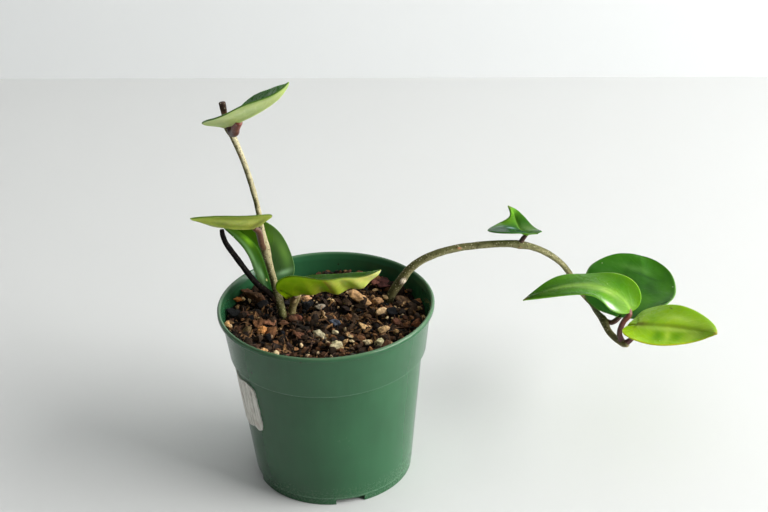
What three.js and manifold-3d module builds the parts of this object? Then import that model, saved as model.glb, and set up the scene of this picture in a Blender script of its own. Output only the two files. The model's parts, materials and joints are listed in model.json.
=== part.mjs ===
// A potted hoya plant: a round nursery pot, its potting mix, three stems, a dried shoot and
// eight leaves on stalks. Millimetres, +Z up. The origin is the middle of the pot's underside,
// on the plane that the pot stands on, and the long vine reaches out towards +X.

import * as THREE from 'three';
import { mergeVertices } from 'three/addons/utils/BufferGeometryUtils.js';
import Module from 'manifold-3d';

const wasm = await Module();
wasm.setup();

// ---------------------------------------------------------------- driving dimensions

const GAP = 0.3;              // clearance between touching pieces
const PI = Math.PI;

// Pot: radii are of the outer face unless said otherwise.
const POT_HEIGHT = 91;
const POT_WALL = 0.9;
const LIP_RADIUS = 52;
const LIP_INNER_RADIUS = 50.3;
const LIP_HEIGHT = 2.7;
const BAND_TOP_RADIUS = 50.2;
const BAND_BOTTOM_RADIUS = 47.4;
const BAND_BOTTOM_Z = 67;
const BODY_TOP_RADIUS = 45.6;
const BODY_BOTTOM_RADIUS = 38.7;
const FOOT_RADIUS = 38.2;
const FOOT_HEIGHT = 3.9;
const FLOOR_Z = 3.4;          // underside of the raised floor
const PAD_RADIUS = 13;        // middle of the floor, pressed down to the standing plane
const NOTCH_COUNT = 4;
const NOTCH_TURN = -80;       // degrees, direction of the first notch
const NOTCH_WIDTH = 14;
const NOTCH_HEIGHT = 2.9;
const DRAIN_RADIUS = 4;
const DRAIN_CENTRE = 31.5;    // distance of a drain hole from the pot's axis
const POT_SIDES = 48;

// Label: a torn scrap of paper that follows the wall under the band.
const LABEL_THICKNESS = 0.6;
const LABEL_FACET = 3.4;      // longest edge, so that the paper bends with the wall
const LABEL_MIDDLE_TURN = 201;
const LABEL_MIDDLE_Z = 49;
const LABEL_OUTLINE = [       // degrees round the pot, height on the wall
  [183, 61.5], [190, 60.5], [197.5, 60.5], [203, 61], [209.5, 62.3], [215, 62.5], [217, 60],
  [218, 56], [218.5, 50], [219, 44], [219.5, 40], [218, 37.5], [215, 36.2], [212.3, 36.2],
  [209.5, 36.7], [204, 34.8], [199.3, 34], [194, 35.5], [188, 38], [184, 43.5], [182.5, 53],
];

// Soil: mean height of its top at the wall, and the shape of its surface.
const SOIL_EDGE_Z = 83.6;
const SOIL_EDGE_LOW_Z = 80.5; // lowest place of the edge
const SOIL_DISH = 3.4;        // how far the middle lies below the edge
const SOIL_SLOPE = [-0.03, -0.03];   // rise per mm towards +X and +Y
const SOIL_SWELL = 0.9;       // height of the uneven swell on top of that
const SWELL_PITCH = [0.21, 0.17, 0.09, 0.33];   // radians per mm of its waves
const SOIL_SIDES = 36;
const SOIL_RINGS = 7;

// The larger chips on top of the mix: x, y, half length.
const PLACED_CHIPS = [
  [16.2, 17.2, 5], [4.5, -4, 2.7], [-3.3, -13.7, 3.1], [3.1, -30.2, 3.5], [18, -8.5, 3.3],
  [26.1, -14, 2.7], [24.3, -25.7, 2.7], [27, 2.6, 2.7], [-10, 20.7, 3], [-30.1, -9.8, 2.6],
  [-47.2, -6.3, 2], [-25.2, -36.5, 2], [33.1, -6, 2.9], [42.2, -13.1, 2.9],
  [24.7, 15.8, 2.5], [37.4, 13.6, 3.2], [-34.9, 21.8, 3.4], [13.1, 1.9, 2.6],
  [-8.9, 14, 2.8], [-18.1, -36.2, 3.2],
];
const LOOSE_CHIPS = 36;       // smaller ones, spread over the whole top
const LOOSE_CHIP_SIZE = [1.5, 2.7];
const CHIP_WIDTHS = [0.6, 0.9];   // a chip's width as a share of its length
const CHIP_HEIGHTS = [0.5, 0.75];
const CHIP_RISE = 0.12;       // how far its middle stands above the mix, same share
const CHIP_TILT = 20;         // degrees, the steepest

// Stems: points of the centre line, each x, y, z and radius.
const BURIED_Z = 46;
const STEMS = {
  stem_main: {
    sides: 10,
    steps: 46,
    points: [
      [-20, 6.2, BURIED_Z, 1.6], [-20.6, 6.2, 66, 1.8], [-21, 6.2, 80, 1.85],
      [-22.3, 6.2, 90, 2.15], [-24.8, 6.2, 104, 1.7], [-27.2, 6.2, 118.7, 2.15],
      [-28.3, 6.2, 131, 1.35], [-29.4, 6.2, 141.6, 1.3], [-31.8, 6.2, 154.7, 1.35],
      [-34.3, 6.2, 165.1, 1.35], [-38, 6.2, 176.9, 1.5], [-39.9, 6.2, 181.8, 1.85],
      [-40.9, 6.2, 187.5, 1.35], [-41.7, 6.2, 194, 1.6],
    ],
  },
  stem_short: {
    sides: 10,
    steps: 14,
    points: [
      [-16, 9.4, BURIED_Z, 1.7], [-16.4, 9.2, 66, 1.85], [-16.9, 8.8, 80, 1.9],
      [-15.9, 8.3, 85.1, 1.9], [-14.2, 8, 89.6, 2.1], [-13.7, 8, 91, 1.9],
    ],
  },
  shoot_dark: {
    sides: 8,
    steps: 22,
    points: [
      [-23, 6.3, 88.8, 1.6], [-25.1, 6, 92.4, 1.6], [-28.2, 5.7, 96, 1.45],
      [-31.6, 5.5, 99.3, 1.4], [-35.4, 5, 105.1, 1.4], [-39.1, 5, 111.7, 1.4],
      [-42.8, 5.5, 117.9, 1.35], [-45.3, 6, 122.5, 1.3], [-46.6, 6.5, 126.6, 1.25],
      [-46.8, 7, 129.2, 1.1],
    ],
  },
  vine: {
    sides: 10,
    steps: 78,
    points: [
      [27.5, 19.4, BURIED_Z, 1.9], [29, 19.5, 66, 2.1], [31.6, 19.6, 80, 2.15],
      [36.3, 19.8, 88, 2.35], [42.9, 20, 96.4, 2], [51.8, 20, 101.9, 1.9],
      [64, 20, 105.2, 1.85], [76.2, 19.5, 106.6, 1.75], [88.2, 18.8, 107, 1.75],
      [95, 18.4, 106.3, 2.05], [101.4, 18.8, 104.3, 1.65], [108, 20.5, 100.2, 1.55],
      [116, 24.5, 92, 1.5], [121, 29, 83.6, 1.5], [125, 34, 74.4, 1.5],
      [128.6, 39, 67, 1.5], [132, 39.5, 62.4, 1.5], [134.3, 33, 61.5, 1.5],
      [135.2, 23, 62.4, 1.5], [136.5, 14, 63.6, 1.95], [137.9, 6.5, 61.6, 1.6],
      [141.1, 0, 60.2, 1.6], [143.4, -3.8, 60.5, 1.9], [144.8, -6, 60.9, 1.4],
    ],
  },
};

// Leaves. rib: the midrib as a cubic curve from base to tip; face: the way the upper side
// looks; twist: turn about the midrib at base and tip; half: widest half widths, left and
// right as seen from above with the base near; fold: lift of each half; curl: how much more
// the fold grows to the margin; lobe: how far the base corners reach back; round and taper:
// fullness of the outline at base and tip; wave: height and phase of the margin's wave on
// each half. Angles in degrees. stalk: the petiole's points from its stem, before the blade.
const LEAVES = [
  {
    name: 'leaf_1_top',
    rib: [[-39, -3, 187], [-26.5, -18.5, 199], [-16.5, -20, 203], [-10.5, -24.5, 215]],
    face: [-0.33, 0.66, 0.67], twist: [10, 30], half: [15, 18], fold: [16, 26],
    curl: [27, -13], lobe: 4.5, round: 0.33, taper: 0.99, wave: [[0.3, 8], [-1, -63]],
    stalk: [[-39.9, 6.2, 181.5], [-38.2, 3.6, 179.3], [-35.8, -0.6, 182], [-35, -3.6, 185.6]],
    attach: 0.12, stalkRadius: 1.75,
  },
  {
    name: 'leaf_2_middle',
    rib: [[-30, -1.5, 134.5], [-38.5, -10.5, 137], [-52, -16, 145.5], [-58.5, -23, 151]],
    face: [-0.07, 0.7, 0.71], twist: [9, 6], half: [14.5, 12.5], fold: [-3, 26],
    curl: [0, 3], lobe: 2.6, round: 0.27, taper: 0.99, wave: [[0.3, 41], [0.3, 33]],
    stalk: [[-27.2, 6.2, 118.7], [-28.3, 3.6, 121.5], [-28.8, 2, 126], [-29.4, 0.2, 130.6]],
    attach: 0.04, stalkRadius: 1.5,
  },
  {
    name: 'leaf_3_back',
    rib: [[-24, 12, 89.5], [-31.5, 21.5, 99.5], [-24.5, 20, 115], [-48, 30, 120.5]],
    face: [0.19, -0.82, 0.53], twist: [27, 7], half: [11.5, 16], fold: [33, 14],
    curl: [1, -13], lobe: 0, round: 0.45, taper: 0.7, wave: [[-0.4, -6], [1.5, 22]],
    stalk: [[-22.3, 6.2, 90], [-22.4, 9, 87.4], [-22.8, 11.4, 87.2]],
    attach: 0.03, stalkRadius: 1.3,
  },
  {
    name: 'leaf_4_low',
    rib: [[-16, 3, 93.5], [-4.5, -2, 101], [17.5, -2.5, 93], [26.5, -9, 111.5]],
    face: [-0.02, 0.8, 0.61], twist: [-5, 11], half: [12, 16.5], fold: [68, 5],
    curl: [-1, 0], lobe: 3.6, round: 0.3, taper: 0.72, wave: [[0.5, 46], [1.6, 44]],
    stalk: [[-14.2, 8, 89.6], [-15.4, 5.4, 89.4], [-16, 3.6, 91]],
    attach: 0.04, stalkRadius: 1.3,
  },
  {
    name: 'leaf_5_young',
    rib: [[99.5, 17.5, 112.5], [93.5, 27, 108], [98, 40.5, 110], [91.5, 33, 120]],
    face: [0.03, -0.29, 0.96], twist: [30, -28], half: [17, 7], fold: [11, 23],
    curl: [-27, -7], lobe: 7.1, round: 0.35, taper: 1.06, wave: [[-0.2, 6], [0.3, -6]],
    stalk: [[95, 18.4, 106.3], [96.5, 18.3, 108.7]],
    attach: 0.04, stalkRadius: 1.2,
  },
  {
    name: 'leaf_6_end_left',
    rib: [[147, -1.5, 77], [140.5, 6.5, 90], [121, 4.5, 93], [94, -6, 89]],
    face: [0.23, -0.23, 0.95], twist: [-27, 8], half: [11.5, 13.5], fold: [11, -27],
    curl: [13, 27], lobe: 0.5, round: 0.43, taper: 0.86, wave: [[-1.7, -53], [3.3, 16]],
    stalk: [[143, -3, 60.4], [141.5, -2.8, 65.8], [143.3, -2.6, 71.8], [146, -2, 75.2]],
    attach: 0.02, stalkRadius: 1.35,
  },
  {
    name: 'leaf_7_end_back',
    rib: [[144.5, 11.5, 68.5], [158, 31.5, 69.5], [163, 50, 66], [164, 66.5, 70]],
    face: [0.1, -0.04, 0.99], twist: [-6, 11], half: [27, 19], fold: [-3, -20],
    curl: [11, 46], lobe: 3.7, round: 0.33, taper: 0.43, wave: [[-0.8, 4], [0.9, -7]],
    stalk: [[136.5, 14, 63.6], [140, 12, 63.2], [142.6, 11.2, 65.2]],
    attach: 0.03, stalkRadius: 1.3,
  },
  {
    name: 'leaf_8_end_right',
    rib: [[148.5, -7, 72.5], [158, -13, 76], [178.5, -10.5, 70], [183.5, -26, 76]],
    face: [0.05, -0.3, 0.95], twist: [2, 46], half: [17.5, 14], fold: [-21, -8],
    curl: [-11, 58], lobe: 4.8, round: 0.3, taper: 0.95, wave: [[-2, -43], [-1.1, -42]],
    stalk: [[143.9, -4.6, 60.7], [146.8, -6, 64], [148, -6.6, 68.6]],
    attach: 0.03, stalkRadius: 1.3,
  },
];
const BLADE_THICKNESS = 1.5;  // at the midrib
const MARGIN_THICKNESS = 0.8;
const END_HALF_WIDTH = 0.5;   // of the blade's narrow base and tip
const MARGIN_WAVES = 1.5;     // waves along one margin
const BLADE_ROWS = 17;
const BLADE_COLUMNS = 3;      // on each half
const DARK_LEAVES = ['leaf_3_back', 'leaf_7_end_back'];
const STALK_SIDES = 8;
const STALK_STEPS = 9;

const COLOURS = {
  pot: 0x1f4a36, label: 0xc9c8c2, soil: 0x2c1f17, stem: 0x9a8f6a, shoot: 0x1d1512,
  vine: 0x6f6a45, stalk: 0x5b322b, dark: 0x2f5a1c, bright: 0x7fa02e,
};

// ---------------------------------------------------------------- helpers

const vec = ([x, y, z]) => new THREE.Vector3(x, y, z);
const radians = (degrees) => degrees * PI / 180;

// A repeatable number from 0 to 1 for each pair of whole numbers.
function scatter(index, channel) {
  const wave = Math.sin(index * 12.9898 + channel * 78.233) * 43758.5453;
  return wave - Math.floor(wave);
}

function geometryOf(positions, indices) {
  const geometry = new THREE.BufferGeometry();
  geometry.setAttribute('position', new THREE.Float32BufferAttribute(positions, 3));
  geometry.setIndex(indices);
  return geometry;
}

function toSolid(geometry) {
  const bare = geometry.clone();
  bare.deleteAttribute('normal');
  bare.deleteAttribute('uv');
  const merged = mergeVertices(bare, 1e-4);
  const mesh = new wasm.Mesh({
    numProp: 3,
    vertProperties: new Float32Array(merged.attributes.position.array),
    triVerts: new Uint32Array(merged.index.array),
  });
  return new wasm.Manifold(mesh);
}

// The main piece of a cut solid, without the scraps that the cut leaves.
function mainPiece(solid) {
  const larger = (a, b) => (b.volume() > a.volume() ? b : a);
  return solid.decompose().reduce(larger);
}

function toGeometry(solid) {
  const mesh = solid.getMesh();
  return geometryOf(Array.from(mesh.vertProperties), Array.from(mesh.triVerts));
}

// ---------------------------------------------------------------- pot and label

// Radius of the pot's outer face at a height above the foot.
function potRadius(z) {
  if (z < BAND_BOTTOM_Z) {
    const share = (z - FOOT_HEIGHT) / (BAND_BOTTOM_Z - FOOT_HEIGHT);
    return BODY_BOTTOM_RADIUS + (BODY_TOP_RADIUS - BODY_BOTTOM_RADIUS) * share;
  }
  const share = (z - BAND_BOTTOM_Z) / (POT_HEIGHT - LIP_HEIGHT - BAND_BOTTOM_Z);
  return BAND_BOTTOM_RADIUS + (BAND_TOP_RADIUS - BAND_BOTTOM_RADIUS) * Math.min(share, 1);
}

function innerRadius(z) {
  return potRadius(z) - POT_WALL;
}

function potSolid() {
  const lipZ = POT_HEIGHT - LIP_HEIGHT;
  const stepZ = BAND_BOTTOM_Z - POT_WALL;
  const profile = [
    [0, 0], [PAD_RADIUS, 0], [PAD_RADIUS + 1.5, FLOOR_Z], [FOOT_RADIUS - 1.1, FLOOR_Z],
    [FOOT_RADIUS - 0.9, 0], [FOOT_RADIUS, 0], [FOOT_RADIUS + 0.1, FOOT_HEIGHT - 0.4],
    [BODY_BOTTOM_RADIUS, FOOT_HEIGHT], [BODY_TOP_RADIUS, BAND_BOTTOM_Z - 0.5],
    [BODY_TOP_RADIUS + 0.3, BAND_BOTTOM_Z - 0.1], [BAND_BOTTOM_RADIUS, BAND_BOTTOM_Z],
    [BAND_TOP_RADIUS, lipZ], [LIP_RADIUS - 0.3, lipZ], [LIP_RADIUS, lipZ + 0.5],
    [LIP_RADIUS, POT_HEIGHT - 0.7], [LIP_RADIUS - 0.5, POT_HEIGHT - 0.1],
    [LIP_RADIUS - 0.9, POT_HEIGHT], [LIP_INNER_RADIUS + 0.3, POT_HEIGHT - 0.2],
    [LIP_INNER_RADIUS, POT_HEIGHT - 0.9], [BAND_TOP_RADIUS - POT_WALL, lipZ - 0.6],
    [innerRadius(BAND_BOTTOM_Z), BAND_BOTTOM_Z + 0.3], [innerRadius(stepZ), stepZ - 0.6],
    [innerRadius(FLOOR_Z + POT_WALL), FLOOR_Z + POT_WALL],
    [PAD_RADIUS + 0.9, FLOOR_Z + POT_WALL], [PAD_RADIUS - 0.6, POT_WALL], [0, POT_WALL],
  ].map(([r, z]) => new THREE.Vector2(r, z));
  const turned = new THREE.LatheGeometry(profile, POT_SIDES);
  turned.rotateX(PI / 2);
  let pot = toSolid(turned);
  for (let i = 0; i < NOTCH_COUNT; i += 1) {
    const turn = radians(NOTCH_TURN + i * 360 / NOTCH_COUNT);
    const notch = new THREE.BoxGeometry(8, NOTCH_WIDTH, 2 * NOTCH_HEIGHT);
    notch.translate(FOOT_RADIUS, 0, 0);
    notch.rotateZ(turn);
    const drain = new THREE.CylinderGeometry(DRAIN_RADIUS, DRAIN_RADIUS, 4, 14);
    drain.rotateX(PI / 2);
    drain.translate(DRAIN_CENTRE, 0, FLOOR_Z);
    drain.rotateZ(turn);
    pot = pot.subtract(toSolid(notch)).subtract(toSolid(drain));
  }
  return pot;
}

// The scrap is an extruded outline, unrolled as arc length by height, then wrapped round
// the wall. Its bottom face lies GAP outside the wall.
function labelGeometry() {
  const wallRadius = potRadius(LABEL_MIDDLE_Z);
  const arc = radians(1) * wallRadius;
  const unroll = ([turn, z]) => new THREE.Vector2((turn - LABEL_MIDDLE_TURN) * arc, z);
  const outline = LABEL_OUTLINE.map(unroll);
  const shape = new THREE.Shape(outline.reverse());
  const flat = new THREE.ExtrudeGeometry(shape, { depth: LABEL_THICKNESS, bevelEnabled: false });
  const geometry = toGeometry(toSolid(flat).refineToLength(LABEL_FACET));
  const place = geometry.attributes.position;
  for (let i = 0; i < place.count; i += 1) {
    const turn = radians(LABEL_MIDDLE_TURN) + place.getX(i) / wallRadius;
    const z = place.getY(i);
    const radius = potRadius(z) + GAP + place.getZ(i);
    place.setXYZ(i, radius * Math.cos(turn), radius * Math.sin(turn), z);
  }
  return geometry;
}

// ---------------------------------------------------------------- stems

// A tube of changing radius along points of x, y, z, radius, closed by rounded ends.
function sweep(points, sides, steps, grow = 0) {
  const curve = new THREE.CatmullRomCurve3(points.map(vec), false, 'centripetal');
  curve.arcLengthDivisions = 400;
  const frames = curve.computeFrenetFrames(steps, false);
  const positions = [];
  const indices = [];
  const ring = (centre, across, along, radius) => {
    for (let j = 0; j < sides; j += 1) {
      const turn = 2 * PI * j / sides;
      const spot = centre.clone();
      spot.addScaledVector(across, radius * Math.cos(turn));
      spot.addScaledVector(along, radius * Math.sin(turn));
      positions.push(spot.x, spot.y, spot.z);
    }
  };
  for (let i = 0; i <= steps; i += 1) {
    const u = i / steps;
    const place = curve.getUtoTmapping(u) * (points.length - 1);
    const before = Math.min(Math.floor(place), points.length - 2);
    const share = THREE.MathUtils.smoothstep(place - before, 0, 1);
    const radius = THREE.MathUtils.lerp(points[before][3], points[before + 1][3], share);
    const centre = curve.getPointAt(u);
    const end = i === 0 ? -1 : i === steps ? 1 : 0;
    centre.addScaledVector(frames.tangents[i], end * grow);
    ring(centre, frames.normals[i], frames.binormals[i], (end ? 0.8 : 1) * radius + grow);
  }
  const count = steps + 1;
  for (let i = 0; i < steps; i += 1) {
    for (let j = 0; j < sides; j += 1) {
      const a = i * sides + j;
      const b = i * sides + (j + 1) % sides;
      indices.push(a, b, a + sides, b, b + sides, a + sides);
    }
  }
  for (const [row, turnedOut] of [[0, true], [count - 1, false]]) {
    const middle = positions.length / 3;
    const direction = frames.tangents[row === 0 ? 0 : steps];
    const tip = curve.getPointAt(row === 0 ? 0 : 1);
    tip.addScaledVector(direction, (turnedOut ? -1 : 1) * (0.4 + grow));
    positions.push(tip.x, tip.y, tip.z);
    for (let j = 0; j < sides; j += 1) {
      const a = row * sides + j;
      const b = row * sides + (j + 1) % sides;
      if (turnedOut) indices.push(middle, b, a);
      else indices.push(middle, a, b);
    }
  }
  return geometryOf(positions, indices);
}

// ---------------------------------------------------------------- leaves

function ribFrame(leaf, s) {
  const [a, b, c, d] = leaf.rib.map(vec);
  const r = 1 - s;
  const centre = new THREE.Vector3();
  centre.addScaledVector(a, r ** 3);
  centre.addScaledVector(b, 3 * s * r * r);
  centre.addScaledVector(c, 3 * s * s * r);
  centre.addScaledVector(d, s ** 3);
  const along = new THREE.Vector3();
  along.addScaledVector(b.clone().sub(a), r * r);
  along.addScaledVector(c.clone().sub(b), 2 * s * r);
  along.addScaledVector(d.clone().sub(c), s * s);
  along.normalize();
  const up = vec(leaf.face);
  up.addScaledVector(along, -up.dot(along)).normalize();
  const turn = radians(THREE.MathUtils.lerp(leaf.twist[0], leaf.twist[1], s));
  up.applyAxisAngle(along, turn);
  const left = new THREE.Vector3().crossVectors(up, along);
  return { centre, along, up, left };
}

// A point of the blade's middle surface and the way that it faces there: s runs from base
// to tip, v from -1 on the right margin over 0 on the midrib to 1 on the left margin.
function bladePoint(leaf, s, v, grow) {
  const { centre, along, up, left } = ribFrame(leaf, s);
  const side = v < 0 ? 1 : 0;
  const reach = Math.abs(v);
  const peak = leaf.round / (leaf.round + leaf.taper);
  const full = peak ** leaf.round * (1 - peak) ** leaf.taper;
  const fullness = s ** leaf.round * (1 - s) ** leaf.taper / full;
  const width = Math.hypot(leaf.half[side] * fullness, END_HALF_WIDTH) + grow;
  const lift = radians(leaf.fold[side] + leaf.curl[side] * reach / 2);
  const slope = radians(leaf.fold[side] + leaf.curl[side] * reach) * Math.sign(v);
  const facing = up.clone().multiplyScalar(Math.cos(slope));
  facing.addScaledVector(left, -Math.sin(slope));
  const [height, phase] = leaf.wave[side];
  const wave = height * Math.sin(2 * PI * MARGIN_WAVES * s + radians(phase));
  const back = leaf.lobe * v * v * (1 - s) ** 3;
  centre.addScaledVector(left, Math.sign(v) * width * reach * Math.cos(lift));
  centre.addScaledVector(up, width * reach * Math.sin(lift) + wave * fullness * v * v);
  centre.addScaledVector(along, -back);
  return { spot: centre, facing };
}

// Rows lie closer together near base and tip.
function rowPlace(row) {
  const share = 0.004 + 0.992 * row / (BLADE_ROWS - 1);
  return 0.5 - 0.5 * Math.cos(PI * share);
}

function bladeGeometry(leaf, grow = 0) {
  const columns = 2 * BLADE_COLUMNS + 1;
  const middle = [];
  for (let i = 0; i < BLADE_ROWS; i += 1) {
    const row = [];
    for (let j = 0; j < columns; j += 1) {
      const point = bladePoint(leaf, rowPlace(i), j / BLADE_COLUMNS - 1, grow);
      const end = i === 0 ? -1 : i === BLADE_ROWS - 1 ? 1 : 0;
      point.spot.addScaledVector(ribFrame(leaf, rowPlace(i)).along, end * grow);
      row.push(point);
    }
    middle.push(row);
  }
  const positions = [];
  for (const side of [1, -1]) {
    for (let i = 0; i < BLADE_ROWS; i += 1) {
      for (let j = 0; j < columns; j += 1) {
        const { spot, facing } = middle[i][j];
        const v = j / BLADE_COLUMNS - 1;
        const thick = THREE.MathUtils.lerp(BLADE_THICKNESS, MARGIN_THICKNESS, v * v);
        const face = spot.clone().addScaledVector(facing, side * (thick / 2 + grow));
        positions.push(face.x, face.y, face.z);
      }
    }
  }
  const under = BLADE_ROWS * columns;
  const indices = [];
  const quad = (a, b, c, d) => indices.push(a, b, c, a, c, d);
  for (let i = 0; i + 1 < BLADE_ROWS; i += 1) {
    for (let j = 0; j + 1 < columns; j += 1) {
      const a = i * columns + j;
      const [b, c, d] = [a + 1, a + columns + 1, a + columns];
      indices.push(a, c, b, a, d, c);
      indices.push(under + a, under + b, under + c, under + a, under + c, under + d);
    }
    const right = i * columns;
    const left = right + columns - 1;
    quad(right, under + right, under + right + columns, right + columns);
    quad(left, left + columns, under + left + columns, under + left);
  }
  for (let j = 0; j + 1 < columns; j += 1) {
    const tip = (BLADE_ROWS - 1) * columns + j;
    quad(j, j + 1, under + j + 1, under + j);
    quad(tip, under + tip, under + tip + 1, tip + 1);
  }
  return geometryOf(positions, indices);
}

// The stalk runs from the stem's middle to the underside of the midrib.
function stalkGeometry(leaf, grow = 0) {
  const { centre, along, up } = ribFrame(leaf, leaf.attach);
  const arrive = centre.clone().addScaledVector(up, -BLADE_THICKNESS / 2);
  const points = leaf.stalk.map((p) => [...p, leaf.stalkRadius]);
  points[0][3] = leaf.stalkRadius * 1.1;
  points.push([...arrive.addScaledVector(along, 0.5).toArray(), leaf.stalkRadius * 0.85]);
  return sweep(points, STALK_SIDES, STALK_STEPS, grow);
}

// ---------------------------------------------------------------- soil

function soilTop(x, y) {
  const radius = Math.hypot(x, y);
  const dish = SOIL_DISH * (1 - (radius / innerRadius(SOIL_EDGE_Z)) ** 2);
  const slope = SOIL_SLOPE[0] * x + SOIL_SLOPE[1] * y;
  const [a, b, c, d] = SWELL_PITCH;
  const broad = Math.sin(a * x + 1) * Math.cos(b * y - 0.6);
  const slanted = 0.6 * Math.sin(c * x - d * y);
  return SOIL_EDGE_Z - dish + slope + SOIL_SWELL * (broad + slanted);
}

function soilBody() {
  const floor = FLOOR_Z + POT_WALL + GAP;
  const wall = (z) => innerRadius(z) - GAP;
  const stepZ = BAND_BOTTOM_Z - POT_WALL;
  const below = [
    [PAD_RADIUS - 0.9, POT_WALL + GAP], [PAD_RADIUS + 0.5, floor], [wall(floor), floor],
    [wall(stepZ), stepZ - 0.7], [wall(BAND_BOTTOM_Z) - 0.1, BAND_BOTTOM_Z + 0.7],
  ];
  const positions = [0, 0, POT_WALL + GAP];
  const addRing = (radius, height) => {
    for (let j = 0; j < SOIL_SIDES; j += 1) {
      const turn = 2 * PI * j / SOIL_SIDES;
      const [x, y] = [radius * Math.cos(turn), radius * Math.sin(turn)];
      positions.push(x, y, height(x, y));
    }
  };
  for (const [radius, z] of below) addRing(radius, () => z);
  const edge = wall(SOIL_EDGE_LOW_Z);
  for (let i = 0; i < SOIL_RINGS; i += 1) addRing(edge * (1 - i / SOIL_RINGS), soilTop);
  positions.push(0, 0, soilTop(0, 0));
  const rings = below.length + SOIL_RINGS;
  const last = 1 + rings * SOIL_SIDES;
  const indices = [];
  for (let j = 0; j < SOIL_SIDES; j += 1) {
    const next = (j + 1) % SOIL_SIDES;
    indices.push(0, 1 + next, 1 + j);
    for (let i = 0; i + 1 < rings; i += 1) {
      const a = 1 + i * SOIL_SIDES;
      const b = a + SOIL_SIDES;
      indices.push(a + j, a + next, b + j, a + next, b + next, b + j);
    }
    const top = last - SOIL_SIDES;
    indices.push(top + j, top + next, last);
  }
  return toSolid(geometryOf(positions, indices));
}

// One angular chip, sunk by about half into the mix and kept clear of the wall.
function chipSolid(x, y, size, index) {
  const limit = innerRadius(SOIL_EDGE_Z) - size - 1;
  const pull = Math.min(1, limit / Math.hypot(x, y));
  const width = size * THREE.MathUtils.lerp(...CHIP_WIDTHS, scatter(index, 1));
  const height = size * THREE.MathUtils.lerp(...CHIP_HEIGHTS, scatter(index, 2));
  const chip = new THREE.IcosahedronGeometry(1, 0);
  chip.scale(size, width, height);
  chip.rotateX(radians(CHIP_TILT) * (2 * scatter(index, 3) - 1));
  chip.rotateZ(2 * PI * scatter(index, 4));
  const [cx, cy] = [x * pull, y * pull];
  chip.translate(cx, cy, soilTop(cx, cy) + CHIP_RISE * size);
  return toSolid(chip);
}

function chipSolids() {
  const chips = PLACED_CHIPS.map(([x, y, size], i) => chipSolid(x, y, size, i));
  const golden = PI * (3 - Math.sqrt(5));
  for (let i = 0; i < LOOSE_CHIPS; i += 1) {
    const index = PLACED_CHIPS.length + i;
    const radius = (innerRadius(SOIL_EDGE_Z) - 4) * Math.sqrt((i + 0.5) / LOOSE_CHIPS);
    const size = THREE.MathUtils.lerp(...LOOSE_CHIP_SIZE, scatter(index, 5));
    const [x, y] = [radius * Math.cos(i * golden), radius * Math.sin(i * golden)];
    chips.push(chipSolid(x, y, size, index));
  }
  return chips;
}

// ---------------------------------------------------------------- the plant

const plant = new THREE.Group();

function add(name, geometry, colour, roughness) {
  const look = new THREE.MeshStandardMaterial({ color: colour, roughness, metalness: 0 });
  look.flatShading = true;
  const mesh = new THREE.Mesh(geometry, look);
  mesh.name = name;
  plant.add(mesh);
}

const stemSolid = (name, grow) => {
  const { points, sides, steps } = STEMS[name];
  return toSolid(sweep(points, sides, steps, grow));
};

add('pot', toGeometry(potSolid()), COLOURS.pot, 0.35);
add('label', labelGeometry(), COLOURS.label, 0.8);

let soil = soilBody();
for (const chip of chipSolids()) soil = soil.add(chip);
for (const name of ['stem_main', 'stem_short', 'vine']) soil = soil.subtract(stemSolid(name, GAP));
add('soil', toGeometry(soil), COLOURS.soil, 0.95);

add('stem_main', toGeometry(stemSolid('stem_main', 0)), COLOURS.stem, 0.75);
add('stem_short', toGeometry(stemSolid('stem_short', 0)), COLOURS.stem, 0.75);
add('vine', toGeometry(stemSolid('vine', 0)), COLOURS.vine, 0.75);
const shoot = stemSolid('shoot_dark', 0).subtract(stemSolid('stem_main', GAP));
add('shoot_dark', toGeometry(shoot), COLOURS.shoot, 0.7);

// A stalk is cut back where it meets its blade, a stem, an earlier stalk or the top leaf.
const clearOf = ['stem_main', 'stem_short', 'vine'].map((name) => stemSolid(name, GAP));
clearOf.push(toSolid(bladeGeometry(LEAVES[0], GAP)));
for (const leaf of LEAVES) {
  const colour = DARK_LEAVES.includes(leaf.name) ? COLOURS.dark : COLOURS.bright;
  add(leaf.name, bladeGeometry(leaf), colour, 0.35);
  let stalk = toSolid(stalkGeometry(leaf)).subtract(toSolid(bladeGeometry(leaf, GAP)));
  for (const neighbour of clearOf) stalk = stalk.subtract(neighbour);
  add(leaf.name.replace('leaf', 'stalk'), toGeometry(mainPiece(stalk)), COLOURS.stalk, 0.6);
  clearOf.push(toSolid(stalkGeometry(leaf, GAP)));
}

export default plant;
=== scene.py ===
"""A potted hoya plant: nursery pot, torn label, potting mix, stems, stalks and eight leaves.

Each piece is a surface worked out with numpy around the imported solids. Lengths in the tables
are in millimetres, as in the part's source, and become metres when a mesh is made. +Z is up,
the origin is the middle of the pot's underside, and the long vine reaches out towards +X.
"""

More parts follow.
